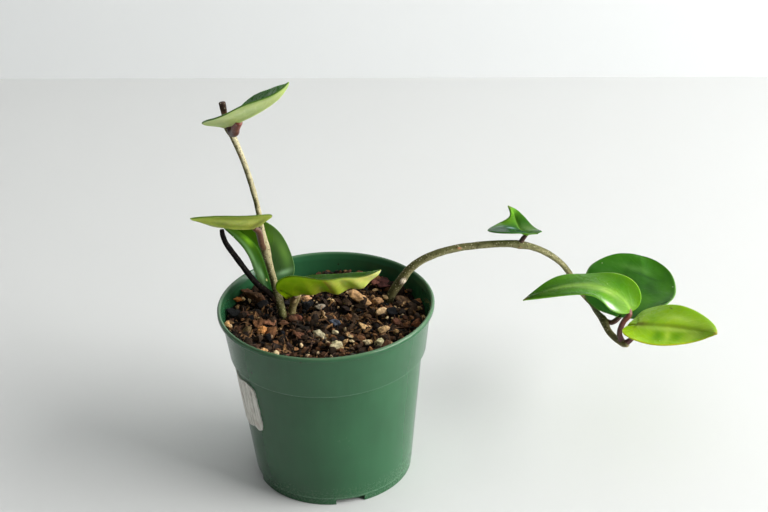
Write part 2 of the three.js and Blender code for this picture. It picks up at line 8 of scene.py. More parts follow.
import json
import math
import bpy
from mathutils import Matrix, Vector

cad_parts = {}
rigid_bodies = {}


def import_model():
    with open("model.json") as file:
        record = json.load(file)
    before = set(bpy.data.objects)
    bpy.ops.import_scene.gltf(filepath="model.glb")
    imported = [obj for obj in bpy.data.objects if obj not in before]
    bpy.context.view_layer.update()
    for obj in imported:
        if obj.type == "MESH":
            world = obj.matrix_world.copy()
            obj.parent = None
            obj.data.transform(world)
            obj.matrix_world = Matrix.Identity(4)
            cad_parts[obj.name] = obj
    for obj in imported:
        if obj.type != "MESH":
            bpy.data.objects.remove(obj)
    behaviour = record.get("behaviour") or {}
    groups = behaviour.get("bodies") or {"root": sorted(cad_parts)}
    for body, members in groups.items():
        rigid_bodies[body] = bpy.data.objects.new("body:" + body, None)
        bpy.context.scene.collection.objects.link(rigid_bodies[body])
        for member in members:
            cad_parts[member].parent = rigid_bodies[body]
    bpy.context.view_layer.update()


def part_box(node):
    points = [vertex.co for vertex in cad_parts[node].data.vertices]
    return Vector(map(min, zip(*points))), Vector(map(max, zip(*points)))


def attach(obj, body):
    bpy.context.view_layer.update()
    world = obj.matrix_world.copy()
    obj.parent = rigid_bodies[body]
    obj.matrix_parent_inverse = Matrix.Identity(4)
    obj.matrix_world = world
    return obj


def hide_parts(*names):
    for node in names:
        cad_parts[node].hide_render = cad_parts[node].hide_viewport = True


bl_info = {
    "name": "Potted hoya plant",
    "version": (1, 0, 0),
    "blender": (4, 5, 0),
    "location": "3D View > Sidebar > Hoya",
    "description": "Builds a hoya plant in a nursery pot around its packed solids",
    "category": "Add Mesh",
}

import bpy
import numpy as np
from bpy.props import FloatProperty, FloatVectorProperty, IntProperty, PointerProperty
from mathutils import Matrix, Vector

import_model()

MM = 0.001
TAU = 2 * math.pi

# ------------------------------------------------------------------ measures from the solids

LIP_RADIUS, _, POT_HEIGHT = np.array(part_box("pot")[1]) / MM

# Pot: radii are of the outer face unless said otherwise.
POT_WALL = 0.9
LIP_INNER_RADIUS = LIP_RADIUS - 1.7
LIP_HEIGHT = 2.7
# Heights between which the top of the lip gets a painted highlight.
LIP_HIGHLIGHT_Z = (89.7, 90.7)
BAND_TOP_RADIUS = LIP_RADIUS - 1.8
BAND_BOTTOM_RADIUS = 47.4
BAND_BOTTOM_Z = 67.0
BODY_TOP_RADIUS = 45.6
BODY_BOTTOM_RADIUS = 38.7
FOOT_RADIUS = 38.2
FOOT_HEIGHT = 3.9
FLOOR_Z = 3.4
PAD_RADIUS = 13.0
NOTCH_TURNS = np.radians(-80.0 + 90.0 * np.arange(4))
NOTCH_WIDTH = 14.0
NOTCH_HEIGHT = 2.9
NOTCH_DEPTH = 8.0
DRAIN_RADIUS = 4.0
DRAIN_CENTRE = 31.5
DRAIN_SIDES = 32
DRAIN_CUT = (1.0, 6.0)
EDGE_ROUNDING = 0.35
EDGE_STEPS = 4
POT_SHARP_ANGLE = 40

# Label: its middle and its torn outline are in degrees round the pot and height.
LABEL_THICKNESS = 0.45
LABEL_LIFT = 0.22            # mean height over the wall, and how far wrinkles change it
LABEL_WRINKLE = 0.14
LABEL_BACK_LIFT = 0.05
LABEL_TEARS = 0.03           # depth of the torn edge, as a share of the way to the middle
LABEL_POINTS, LABEL_RINGS = 220, 14
LABEL_MIDDLE = (201.0, 49.0)
LABEL_OUTLINE = [
    (183, 61.5), (190, 60.5), (197.5, 60.5), (203, 61), (209.5, 62.3), (215, 62.5), (217, 60),
    (218, 56), (218.5, 50), (219, 44), (219.5, 40), (218, 37.5), (215, 36.2), (212.3, 36.2),
    (209.5, 36.7), (204, 34.8), (199.3, 34), (194, 35.5), (188, 38), (184, 43.5), (182.5, 53),
]

# Potting mix.
SOIL_EDGE_Z = 83.6   # mean height of its top at the wall
SOIL_EDGE_LOW_Z = 80.5
SOIL_DISH = 3.4      # how far the middle lies below the edge
SOIL_SLOPE = (-0.03, -0.03)  # rise per millimetre towards +X and +Y
SOIL_SWELL = 0.9     # height of the swell's waves, and radians per millimetre of each
SWELL_PITCH = (0.21, 0.17, 0.09, 0.33)
BED_DEPTH = 2.0      # how far the bed lies under the loose pieces
BED_GAP = 0.3        # between the bed and the pot
BED_SIDES = 240
BED_RINGS = 60
CUT_DEPTHS = (0.42, 0.85)    # where planes cut a lump, as shares of its radius
# Painted shade in a lump's hollows and painted light on its ridges.
HOLLOW_PAINTED_SHADE = 0.45  # how much darker a lump's hollows are, and lighter its ridges
SMALL_BIAS = 1.8     # how much commoner small pieces are than large ones
STONE_GROWTH = 1.3   # the large stones against the solid's own chips
FIBRE_REACH = 43.0   # how far from the axis a fibre starts, and ends
FIBRE_END_REACH = 46.5
FIBRE_LENGTH = (2.5, 8)
FIBRE_RADIUS = (0.09, 0.2)
FIBRE_ARCH = (0.2, 2.0)

# Stems: points of the centre line, each x, y, z and radius.
BURIED_Z = 46.0
STEM_MAIN = [
    (-20, 6.2, BURIED_Z, 1.6), (-20.6, 6.2, 66, 1.8), (-21, 6.2, 80, 1.85),
    (-22.3, 6.2, 90, 2.15), (-24.8, 6.2, 104, 1.7), (-27.2, 6.2, 118.7, 2.15),
    (-28.3, 6.2, 131, 1.35), (-29.4, 6.2, 141.6, 1.3), (-31.8, 6.2, 154.7, 1.35),
    (-34.3, 6.2, 165.1, 1.35), (-38, 6.2, 176.9, 1.5), (-39.9, 6.2, 181.8, 1.85),
    (-40.9, 6.2, 187.5, 1.35), (-41.7, 6.2, 194, 1.6),
]
STEM_SHORT = [
    (-16, 9.4, BURIED_Z, 1.7), (-16.4, 9.2, 66, 1.85), (-16.9, 8.8, 80, 1.9),
    (-15.9, 8.3, 85.1, 1.9), (-14.2, 8, 89.6, 2.1), (-13.7, 8, 91, 1.9),
]
SHOOT_DARK = [
    (-23, 6.3, 88.8, 1.6), (-25.1, 6, 92.4, 1.6), (-28.2, 5.7, 96, 1.45),
    (-31.6, 5.5, 99.3, 1.4), (-35.4, 5, 105.1, 1.4), (-39.1, 5, 111.7, 1.4),
    (-42.8, 5.5, 117.9, 1.35), (-45.3, 6, 122.5, 1.3), (-46.6, 6.5, 126.6, 1.25),
    (-46.8, 7, 129.2, 1.1),
]
VINE = [
    (27.5, 19.4, BURIED_Z, 1.9), (29, 19.5, 66, 2.1), (31.6, 19.6, 80, 2.15),
    (36.3, 19.8, 88, 2.35), (42.9, 20, 96.4, 2), (51.8, 20, 101.9, 1.9),
    (64, 20, 105.2, 1.85), (76.2, 19.5, 106.6, 1.75), (88.2, 18.8, 107, 1.75),
    (95, 18.4, 106.3, 2.05), (101.4, 18.8, 104.3, 1.65), (108, 20.5, 100.2, 1.55),
    (116, 24.5, 92, 1.5), (121, 29, 83.6, 1.5), (125, 34, 74.4, 1.5),
    (128.6, 39, 67, 1.5), (132, 39.5, 62.4, 1.5), (134.3, 33, 61.5, 1.5),
    (135.2, 23, 62.4, 1.5), (136.5, 14, 63.6, 1.95), (137.9, 6.5, 61.6, 1.6),
    (141.1, 0, 60.2, 1.6), (143.4, -3.8, 60.5, 1.9), (144.8, -6, 60.9, 1.4),
]


def srgb(red, green, blue):
    """A screen colour of 0 to 255 as linear light: ((c + 0.055) / 1.055) to the power 2.4."""
    shares = np.array([red, green, blue], float) / 255
    return np.where(shares > 0.04045, ((shares + 0.055) / 1.055) ** 2.4, shares / 12.92)


# Leaves. rib: the midrib as a cubic curve from base to tip; face: the way the upper side
# looks; twist: turn about the midrib at base and tip; half: widest half widths, left and
# right as seen from above with the base near; fold: lift of each half; curl: how much more
# the fold grows to the margin; lobe: how far the base corners reach back; round and taper:
# fullness of the outline at base and tip; wave: height and phase of the margin's wave on
# each half, and ripple: height, number and start of finer waves of the midrib; stalk: the
# points of the leaf's stalk from its stem, before the blade, stalk_colours its colours at
# the stem and at the blade, and attach where it joins the midrib. upper and under: colours
# at the base, in the middle and at the tip. midrib: colour and strength. rim: the margin's
# colour, strength and where it starts. patches: see leaf_paint.
LEAVES = [
    {
        "name": "leaf_1_top",
        "rib": [(-39, -3, 187), (-26.5, -18.5, 199), (-16.5, -20, 203), (-10.5, -24.5, 215)],
        "face": (-0.33, 0.66, 0.67), "twist": (10, 30), "half": (15, 18), "fold": (16, 26),
        "curl": (27, -13), "lobe": 4.5, "round": 0.33, "taper": 0.99,
        "wave": ((0.3, 8), (-1, -63)),
        "stalk": [(-38.4, 5, 182.2), (-37.9, 3, 180.6), (-36.6, -0.6, 182.2),
                  (-36, -3.6, 185.6)],
        "stalk_colours": [(58, 32, 26), (122, 58, 44)],
        "attach": 0.12, "stalk_radius": 1.95,
        "upper": [(48, 92, 28), (44, 96, 26), (70, 122, 34)],
        "under": [(158, 172, 108), (172, 188, 126), (158, 176, 112)],
        "midrib": ((188, 196, 144), 0.35), "rim": ((58, 92, 34), 0.85, 0.955),
        "patches": [
            (-0.5, 0.1, 0.5, 0.1, 0, (136, 148, 84), 0.6),
            (-0.5, 0.45, 0.25, 0.4, 0, (188, 200, 146), 0.6),
            (0.6, 0.5, 0.3, 0.3, 0, (140, 160, 88), 0.5),
            (-0.85, 0.75, 0.2, 0.3, 0, (118, 146, 74), 0.6),
        ],
    },
    {
        "name": "leaf_2_middle",
        "rib": [(-30, -1.5, 134.5), (-38.5, -10.5, 137), (-52, -16, 145.5), (-58.5, -23, 151)],
        "face": (-0.07, 0.7, 0.71), "twist": (9, 6), "half": (14.5, 12.5), "fold": (-3, 26),
        "curl": (0, 3), "lobe": 2.6, "round": 0.27, "taper": 0.99,
        "wave": ((0.3, 41), (0.3, 33)),
        "stalk": [(-27.2, 6.2, 118.7), (-28.3, 3.6, 121.5), (-28.8, 2, 126),
                  (-29.4, 0.2, 130.6)],
        "stalk_colours": [(88, 64, 46), (92, 62, 48)],
        "attach": 0.04, "stalk_radius": 1.5,
        "upper": [(78, 100, 36), (72, 98, 34), (84, 112, 40)],
        "under": [(160, 170, 82), (144, 156, 68), (136, 152, 68)],
        "midrib": ((170, 172, 104), 0.3), "rim": ((58, 78, 28), 0.9, 0.94),
        "patches": [
            (0.0, 0.3, 0.3, 0.5, 0, (110, 126, 44), 0.7),
            (-0.5, 0.4, 0.2, 0.3, 0, (180, 188, 104), 0.8),
            (0.5, 0.4, 0.2, 0.3, 0, (180, 188, 104), 0.8),
            (-0.4, 0.1, 0.4, 0.06, 0, (86, 94, 36), 0.8),
            (0.4, 0.1, 0.4, 0.06, 0, (86, 94, 36), 0.8),
            (0.85, 0.6, 0.15, 0.4, 0, (112, 126, 56), 0.7),
            (-0.85, 0.6, 0.15, 0.4, 0, (112, 126, 56), 0.7),
        ],
    },
    {
        "name": "leaf_3_back",
        "rib": [(-24, 12, 89.5), (-31.5, 21.5, 99.5), (-24.5, 20, 115), (-48, 30, 120.5)],
        "face": (0.19, -0.82, 0.53), "twist": (27, 7), "half": (11.5, 16), "fold": (33, 14),
        "curl": (1, -13), "lobe": 0, "round": 0.45, "taper": 0.7,
        "wave": ((-0.4, -6), (1.5, 22)),
        "stalk": [(-22.3, 6.2, 90), (-22.4, 9, 87.4), (-22.8, 11.4, 87.2)],
        "stalk_colours": [(96, 76, 48), (70, 48, 36)],
        "attach": 0.03, "stalk_radius": 1.3,
        "upper": [(18, 54, 14), (30, 56, 2), (48, 78, 8)],
        "under": [(112, 146, 60), (118, 150, 62), (118, 150, 62)],
        "midrib": ((70, 122, 44), 0.4), "rim": ((98, 138, 84), 0.7, 0.965),
        "patches": [
            (0.3, 0.74, 0.25, 0.07, 1, (96, 142, 30), 0.7),
            # Painted highlight band along the left half.
            (0.8, 0.5, 0.16, 0.4, 1, (92, 128, 82), 0.6),
            (0.45, 0.5, 0.2, 0.12, 1, (26, 66, 8), 0.6),
            # Painted highlight on the left half.
            (0.6, 0.3, 0.16, 0.1, 1, (110, 146, 102), 0.55),
            (0.4, 0.12, 0.3, 0.08, 1, (18, 54, 26), 0.6),
            (-0.5, 0.66, 0.2, 0.08, 1, (60, 98, 14), 0.6),
            (-0.75, 0.42, 0.16, 0.16, 1, (78, 116, 38), 0.6),
            (-0.25, 0.4, 0.22, 0.2, 1, (22, 50, 4), 0.7),
            # Painted highlight near the base of the right half.
            (-0.6, 0.22, 0.25, 0.03, 1, (128, 164, 122), 0.6),
            (-0.45, 0.16, 0.3, 0.05, 1, (34, 76, 30), 0.7),
            (0.35, 0.2, 0.05, 0.012, 1, (196, 190, 130), 0.9),
        ],
    },
    {
        "name": "leaf_4_low",
        "rib": [(-16, 3, 93.5), (-4.5, -2, 101), (17.5, -2.5, 93), (26.5, -9, 111.5)],
        "face": (-0.02, 0.8, 0.61), "twist": (-5, 11), "half": (12, 16.5), "fold": (68, 5),
        "curl": (-1, 0), "lobe": 3.6, "round": 0.3, "taper": 0.72,
        "wave": ((0.5, 46), (1.6, 44)), "ripple": (1.0, 3.85, -49),
        "stalk": [(-14.2, 8, 89.6), (-15.4, 5.4, 89.4), (-16, 3.6, 91)],
        "stalk_colours": [(140, 126, 84), (112, 92, 60)],
        "attach": 0.04, "stalk_radius": 1.3,
        "upper": [(44, 78, 26), (52, 86, 32), (84, 120, 48)],
        "under": [(164, 190, 24), (184, 200, 54), (230, 234, 148)],
        "midrib": ((176, 190, 80), 0.35), "rim": ((56, 78, 20), 0.9, 0.94),
        "patches": [
            (-0.5, 0.45, 0.9, 0.022, 0, (178, 140, 60), 0.75),
            (-0.75, 0.5, 0.3, 0.05, 0, (214, 206, 112), 0.6),
            (-0.2, 0.35, 0.25, 0.06, 0, (188, 184, 90), 0.5),
            (-0.6, 0.62, 0.3, 0.05, 0, (206, 206, 104), 0.5),
            (-0.35, 0.7, 0.2, 0.1, 0, (186, 204, 70), 0.6),
            (-0.6, 0.06, 0.35, 0.05, 0, (120, 160, 10), 0.6),
            (-0.45, 0.012, 0.06, 0.006, 0, (50, 44, 16), 0.9),
            (-0.75, 0.02, 0.06, 0.006, 0, (60, 52, 18), 0.9),
        ],
    },
    {
        "name": "leaf_5_young",
        "rib": [(99.5, 17.5, 112.5), (93.5, 27, 108), (98, 40.5, 110), (91.5, 33, 120)],
        "face": (0.03, -0.29, 0.96), "twist": (30, -28), "half": (17, 7), "fold": (11, 23),
        "curl": (-27, -7), "lobe": 7.1, "round": 0.35, "taper": 1.06,
        "wave": ((-0.2, 6), (0.3, -6)),
        "stalk": [(95, 18.4, 106.3), (96.5, 18.3, 108.7)],
        "stalk_colours": [(66, 44, 36), (60, 36, 32)],
        "attach": 0.04, "stalk_radius": 1.2,
        "upper": [(26, 72, 38), (50, 104, 30), (92, 142, 34)],
        "under": [(112, 160, 44), (120, 166, 46), (120, 160, 48)],
        "midrib": ((128, 176, 70), 0.5), "rim": ((66, 118, 40), 0.7, 0.96),
        "patches": [
            (0.5, 0.2, 0.5, 0.25, 1, (14, 52, 40), 0.9),
            # This row and the next: painted highlight and painted blue-grey reflection on the
            # near half.
            (0.35, 0.22, 0.1, 0.05, 1, (150, 178, 190), 0.7),
            (0.6, 0.35, 0.2, 0.03, 1, (110, 140, 140), 0.5),
            (-0.5, 0.2, 0.5, 0.2, 1, (104, 142, 72), 0.8),
            (0.5, 0.65, 0.5, 0.25, 0.5, (112, 160, 48), 0.6),
            (0.0, 0.98, 1.0, 0.03, 0.5, (92, 76, 40), 0.8),
        ],
    },
    {
        "name": "leaf_6_end_left",
        "rib": [(147, -1.5, 77), (140.5, 6.5, 90), (121, 4.5, 93), (94, -6, 89)],
        "face": (0.23, -0.23, 0.95), "twist": (-27, 8), "half": (11.5, 13.5),
        "fold": (11, -27), "curl": (13, 27), "lobe": 0.5, "round": 0.43, "taper": 0.86,
        "wave": ((-1.7, -53), (3.3, 16)),
        "stalk": [(143, -3, 60.4), (141.5, -2.8, 65.8), (143.3, -2.6, 71.8), (146, -2, 75.2)],
        "stalk_colours": [(84, 38, 38), (122, 66, 56)],
        "attach": 0.02, "stalk_radius": 1.35,
        "upper": [(98, 144, 26), (66, 112, 16), (34, 66, 4)],
        "under": [(104, 142, 42), (104, 142, 42), (92, 132, 36)],
        "midrib": ((150, 188, 84), 0.4), "rim": ((92, 140, 40), 0.6, 0.96),
        "patches": [
            (0.5, 0.3, 0.35, 0.2, 1, (84, 136, 24), 0.7),
            # Painted highlight on the rolled near margin.
            (0.86, 0.26, 0.12, 0.13, 1, (226, 238, 222), 0.9),
            (0.2, 0.4, 0.12, 0.2, 1, (160, 186, 104), 0.6),
            (-0.1, 0.62, 0.12, 0.2, 1, (128, 160, 76), 0.6),
            (0.75, 0.7, 0.4, 0.2, 1, (36, 78, 2), 0.7),
            (-0.5, 0.22, 0.35, 0.14, 1, (52, 112, 18), 0.6),
            (0.6, 0.6, 0.3, 0.2, 1, (76, 136, 22), 0.5),
            (-0.4, 0.75, 0.4, 0.2, 1, (42, 88, 10), 0.6),
            (0.0, 0.99, 1.0, 0.02, 0.5, (88, 66, 40), 0.9),
        ],
    },
    {
        "name": "leaf_7_end_back",
        "rib": [(144.5, 11.5, 68.5), (158, 31.5, 69.5), (163, 50, 66), (164, 66.5, 70)],
        "face": (0.1, -0.04, 0.99), "twist": (-6, 11), "half": (27, 19), "fold": (-3, -20),
        "curl": (11, 46), "lobe": 3.7, "round": 0.33, "taper": 0.43,
        "wave": ((-0.8, 4), (0.9, -7)),
        "stalk": [(136.5, 14, 63.6), (140, 12, 63.2), (142.6, 11.2, 65.2)],
        "stalk_colours": [(92, 60, 46), (84, 50, 40)],
        "attach": 0.03, "stalk_radius": 1.3,
        "upper": [(28, 76, 6), (30, 74, 8), (42, 90, 12)],
        "under": [(104, 146, 44), (104, 146, 44), (104, 146, 44)],
        "midrib": ((26, 66, 10), 0.35), "rim": ((120, 160, 90), 0.7, 0.97),
        "patches": [
            (0.6, 0.2, 0.35, 0.2, 1, (14, 60, 8), 0.6),
            (0.5, 0.75, 0.3, 0.18, 1, (40, 88, 16), 0.6),
            (-0.35, 0.25, 0.3, 0.12, 1, (58, 108, 18), 0.6),
            (-0.75, 0.5, 0.25, 0.25, 1, (52, 104, 14), 0.6),
            (-0.3, 0.5, 0.2, 0.14, 1, (20, 54, 6), 0.6),
            (0.1, 0.75, 0.4, 0.05, 1, (76, 116, 50), 0.5),
            (-0.2, 0.66, 0.4, 0.02, 1, (20, 52, 8), 0.6),
            (0.3, 0.5, 0.06, 0.3, 1, (20, 58, 6), 0.5),
        ],
    },
    {
        "name": "leaf_8_end_right",
        "rib": [(148.5, -7, 72.5), (158, -13, 76), (178.5, -10.5, 70), (183.5, -26, 76)],
        "face": (0.05, -0.3, 0.95), "twist": (2, 46), "half": (17.5, 14), "fold": (-21, -8),
        "curl": (-11, 58), "lobe": 4.8, "round": 0.3, "taper": 0.95,
        "wave": ((-2, -43), (-1.1, -42)),
        "stalk": [(143.9, -4.6, 60.7), (146.8, -6, 64), (148, -6.6, 68.6)],
        "stalk_colours": [(84, 38, 38), (120, 62, 52)],
        "attach": 0.03, "stalk_radius": 1.3,
        "upper": [(128, 164, 20), (124, 160, 24), (136, 166, 46)],
        "under": [(150, 174, 60), (150, 174, 60), (150, 174, 60)],
        "midrib": ((92, 112, 22), 0.7), "rim": ((150, 150, 20), 0.8, 0.94),
        "patches": [
            (0.0, 0.06, 0.1, 0.1, 1, (88, 58, 40), 0.9),
            (-0.5, 0.3, 0.3, 0.06, 1, (84, 132, 6), 0.9),
            (-0.5, 0.5, 0.28, 0.06, 1, (84, 132, 6), 0.85),
            (-0.45, 0.4, 0.3, 0.03, 1, (160, 186, 66), 0.7),
            (-0.45, 0.75, 0.4, 0.12, 1, (158, 180, 76), 0.7),
            (-0.15, 0.45, 0.1, 0.5, 1, (160, 184, 84), 0.7),
            (0.35, 0.5, 0.14, 0.2, 1, (160, 184, 84), 0.6),
            (0.6, 0.3, 0.3, 0.12, 1, (112, 146, 16), 0.6),
            (0.3, 0.22, 0.25, 0.07, 1, (88, 132, 12), 0.7),
            (0.75, 0.42, 0.028, 0.01, 1, (30, 48, 10), 1.0),
            (0.0, 0.99, 1.0, 0.02, 0.5, (176, 120, 90), 0.7),
        ],
    },
]
BLADE_THICKNESS = 1.5
MARGIN_THICKNESS = 0.8
MARGIN_WAVES = 1.5
MARGIN_START = 0.94  # where the edge begins to round off
END_HALF_WIDTH = 0.35
GROOVE_DEPTH = 0.32  # along the midrib above
KEEL_DEPTH = 0.4     # and below
RIB_REACH = 0.9
SKIN_SHINE = 0.09    # specular level of the light skin, and of the dark one
DARK_SHINE = 0.03
DARK_GLOW = 0.08     # share of light that passes through the dark leaves
VEIN_SLANT = 0.36
VEIN_WAVES = 47.0    # radians from base to tip


# ------------------------------------------------------------------ numbers and noise


def unit(rows):
    """Each row divided by its length."""
    return rows / np.linalg.norm(rows, axis=-1, keepdims=True)


def smooth(value, low=0.0, high=1.0):
    """0 below low, 1 above high, and t * t * (3 - 2 t) between."""
    t = np.clip((value - low) / (high - low), 0, 1)
    return t * t * (3 - 2 * t)


def value_noise(places, pitch, seed=0):
    """Smooth noise from -1 to 1: the fraction of a large sine at each corner of a cubic
    lattice of that pitch, blended by t * t * (3 - 2 t) between the eight corners."""
    scaled = places / pitch
    cell = np.floor(scaled)
    t = scaled - cell
    t = t * t * (3 - 2 * t)
    total = np.zeros(places.shape[:-1])
    for corner in np.ndindex(2, 2, 2):
        key = (cell + corner) @ np.array([12.9898, 78.233, 37.719]) + 4.7 * seed
        wave = np.sin(key) * 43758.5453
        weight = np.where(np.array(corner) == 1, t, 1 - t).prod(-1)
        total += weight * (wave - np.floor(wave))
    return 2 * total - 1


def layered_noise(places, pitch, octaves=3, seed=0):
    """Sum of noises, each of half the pitch and half the height of the one before."""
    return sum(
        value_noise(places, pitch / 2**k, seed + k) / 2**k for k in range(octaves)
    )


def blend(a, b, share):
    """a + (b - a) * share, for colours in the last axis."""
    return a + (b - a) * np.asarray(share)[..., None]


# ------------------------------------------------------------------ meshes


def ring_faces(rows, sides):
    """Quads between neighbours on rows of closed rings: (i, j), (i, j + 1), (i + 1, j + 1),
    (i + 1, j), with the last point of a ring joined to its first."""
    i = np.arange(rows - 1)[:, None]
    j = np.arange(sides)[None, :]
    a, b = i * sides + j, i * sides + (j + 1) % sides
    return np.stack([a, b, b + sides, a + sides], -1).reshape(-1, 4)


def fan_faces(ring, middle):
    """Triangles from a closed ring of point numbers to one middle point."""
    return np.stack([ring, np.roll(ring, -1), np.full_like(ring, middle)], -1)


def capped_faces(rows, sides):
    """Faces of closed rings whose first and last row are each drawn to a point: the two
    points after the grid's own."""
    first = np.arange(sides)
    poles = rows * sides
    return (ring_faces(rows, sides),
            np.concatenate([fan_faces(first[::-1], poles),
                            fan_faces(first + poles - sides, poles + 1)]))


def turns_round(sides):
    """Even turns round a circle, one for each side."""
    return TAU * np.arange(sides) / sides


def rings(radius, height, sides):
    """Points round the upright axis: (radius * cos, radius * sin, height) of each turn."""
    turn = turns_round(sides)
    radius, height = np.broadcast_arrays(radius, height)
    return np.stack([radius * np.cos(turn), radius * np.sin(turn), height + 0 * turn], -1)


def make_mesh(name, points, *faces):
    """A mesh from points in millimetres and arrays of faces with equal corner counts."""
    mesh = bpy.data.meshes.new(name)
    corners = np.concatenate([group.ravel() for group in faces]).astype(np.int32)
    counts = np.concatenate([np.full(len(group), group.shape[1]) for group in faces])
    mesh.vertices.add(len(points))
    mesh.vertices.foreach_set("co", (points * MM).astype(np.float32).ravel())
    mesh.loops.add(len(corners))
    mesh.loops.foreach_set("vertex_index", corners)
    mesh.polygons.add(len(counts))
    starts = np.concatenate([[0], np.cumsum(counts)[:-1]]).astype(np.int32)
    mesh.polygons.foreach_set("loop_start", starts)
    mesh.update(calc_edges=True)
    mesh.validate()
    return mesh


def make_piece(mesh, nodes, material, tint=None, place=None, sharp=None):
    """The object of a finished mesh: it rides on the only body, stands for its nodes, and
    keeps its paint as a colour, and its own directions as a vector, at each point."""
    piece = bpy.data.objects.new(mesh.name, mesh)
    bpy.context.scene.collection.objects.link(piece)
    mesh.shade_smooth()
    if sharp is not None:
        mesh.set_sharp_from_angle(angle=math.radians(sharp))
    if tint is not None:
        colours = np.ones((len(mesh.vertices), 4), np.float32)
        colours[:, :3] = tint.reshape(-1, 3)
        layer = mesh.attributes.new("tint", "FLOAT_COLOR", "POINT")
        layer.data.foreach_set("color", colours.ravel())
    if place is not None:
        layer = mesh.attributes.new("place", "FLOAT_VECTOR", "POINT")
        layer.data.foreach_set("vector", place.astype(np.float32).ravel())
    mesh.materials.append(material)
    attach(piece, "root")
    if nodes:
        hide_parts(*nodes)
    return piece


# ------------------------------------------------------------------ materials


class Finish:
    """One material's node tree. Each call adds a node and returns the output it is read by."""

    def __init__(self, name, **numbers):
        self.material = bpy.data.materials.new(name)
        self.material.use_nodes = True
        self.nodes = self.material.node_tree.nodes
        self.links = self.material.node_tree.links
        self.surface = self.nodes["Principled BSDF"]
        for socket, value in numbers.items():
            self.surface.inputs[socket.replace("_", " ")].default_value = value

    def feed(self, socket, value):
        """Links an output to the socket, or sets the socket to a number or colour."""
        if isinstance(value, bpy.types.NodeSocket):
            self.links.new(value, socket)
        elif isinstance(value, (tuple, list, np.ndarray)) and socket.type == "RGBA":
            socket.default_value = (*[float(part) for part in value[:3]], 1.0)
        else:
            socket.default_value = value

    def node(self, kind, output, settings, **inputs):
        """A new node with its settings and inputs."""
        node = self.nodes.new("ShaderNode" + kind)
        for key, value in settings.items():
            setattr(node, key, value)
        for key, value in inputs.items():
            self.feed(node.inputs[key], value)
        return node.outputs[output]

    def objects(self, stretch=(1, 1, 1)):
        """Object coordinates in millimetres, stretched along each axis."""
        place = self.node("TexCoord", "Object", {})
        scale = tuple(part / MM for part in stretch)
        return self.node("Mapping", "Vector", {}, Vector=place, Scale=scale)

    def attribute(self, name, output="Color"):
        """What the mesh keeps at each point under the name."""
        return self.node("Attribute", output, {"attribute_name": name})

    def noise(self, place, pitch, detail=3.0, warp=0.0):
        """Noise from 0 to 1 with features of about the given pitch."""
        return self.node("TexNoise", 0, {}, Vector=place, Scale=1 / pitch, Detail=detail,
                         Distortion=warp)

    def cells(self, place, pitch):
        """Distance to the nearest of points scattered at the given pitch."""
        return self.node("TexVoronoi", "Distance", {}, Vector=place, Scale=1 / pitch)

    def span(self, value, low, high, to_low=0.0, to_high=1.0):
        """value taken from low..high to to_low..to_high, and held at the ends."""
        node = self.nodes.new("ShaderNodeMapRange")
        node.clamp = True
        for key, number in zip(
            ("Value", "From Min", "From Max", "To Min", "To Max"),
            (value, low, high, to_low, to_high),
        ):
            self.feed(node.inputs[key], number)
        return node.outputs["Result"]

    def reckon(self, operation, a, b=0.0):
        """One step of arithmetic on a, or on a and b."""
        node = self.nodes.new("ShaderNodeMath")
        node.operation = operation
        self.feed(node.inputs[0], a)
        self.feed(node.inputs[1], b)
        return node.outputs[0]

    def add(self, a, b):
        return self.reckon("ADD", a, b)

    def times(self, a, b):
        return self.reckon("MULTIPLY", a, b)

    def mix(self, share, a, b, mode="MIX"):
        """Colour a, with the share of colour b laid over it."""
        node = self.nodes.new("ShaderNodeMix")
        node.data_type = "RGBA"
        node.blend_type = mode
        self.feed(node.inputs[0], share)
        self.feed(node.inputs[6], a)
        self.feed(node.inputs[7], b)
        return node.outputs[2]

    def filtered(self, colour, factors):
        """The colour times a factor for each of red, green and blue."""
        return self.mix(1.0, colour, factors, "MULTIPLY")

    def axis(self, vector, letter):
        """One of a vector's three numbers."""
        return self.node("SeparateXYZ", letter, {}, Vector=vector)

    def bump(self, height, depth, below=None):
        """A bump of the given depth in millimetres, over another bump if there is one."""
        node = self.nodes.new("ShaderNodeBump")
        node.inputs["Distance"].default_value = depth * MM
        self.feed(node.inputs["Height"], height)
        if below is not None:
            self.feed(node.inputs["Normal"], below)
        return node.outputs["Normal"]

    def finish(self, colour=None, roughness=None, normal=None):
        """Feeds what is given to the surface, and returns the material."""
        for key, value in (("Base Color", colour), ("Roughness", roughness),
                           ("Normal", normal)):
            if value is not None:
                self.feed(self.surface.inputs[key], value)
        return self.material


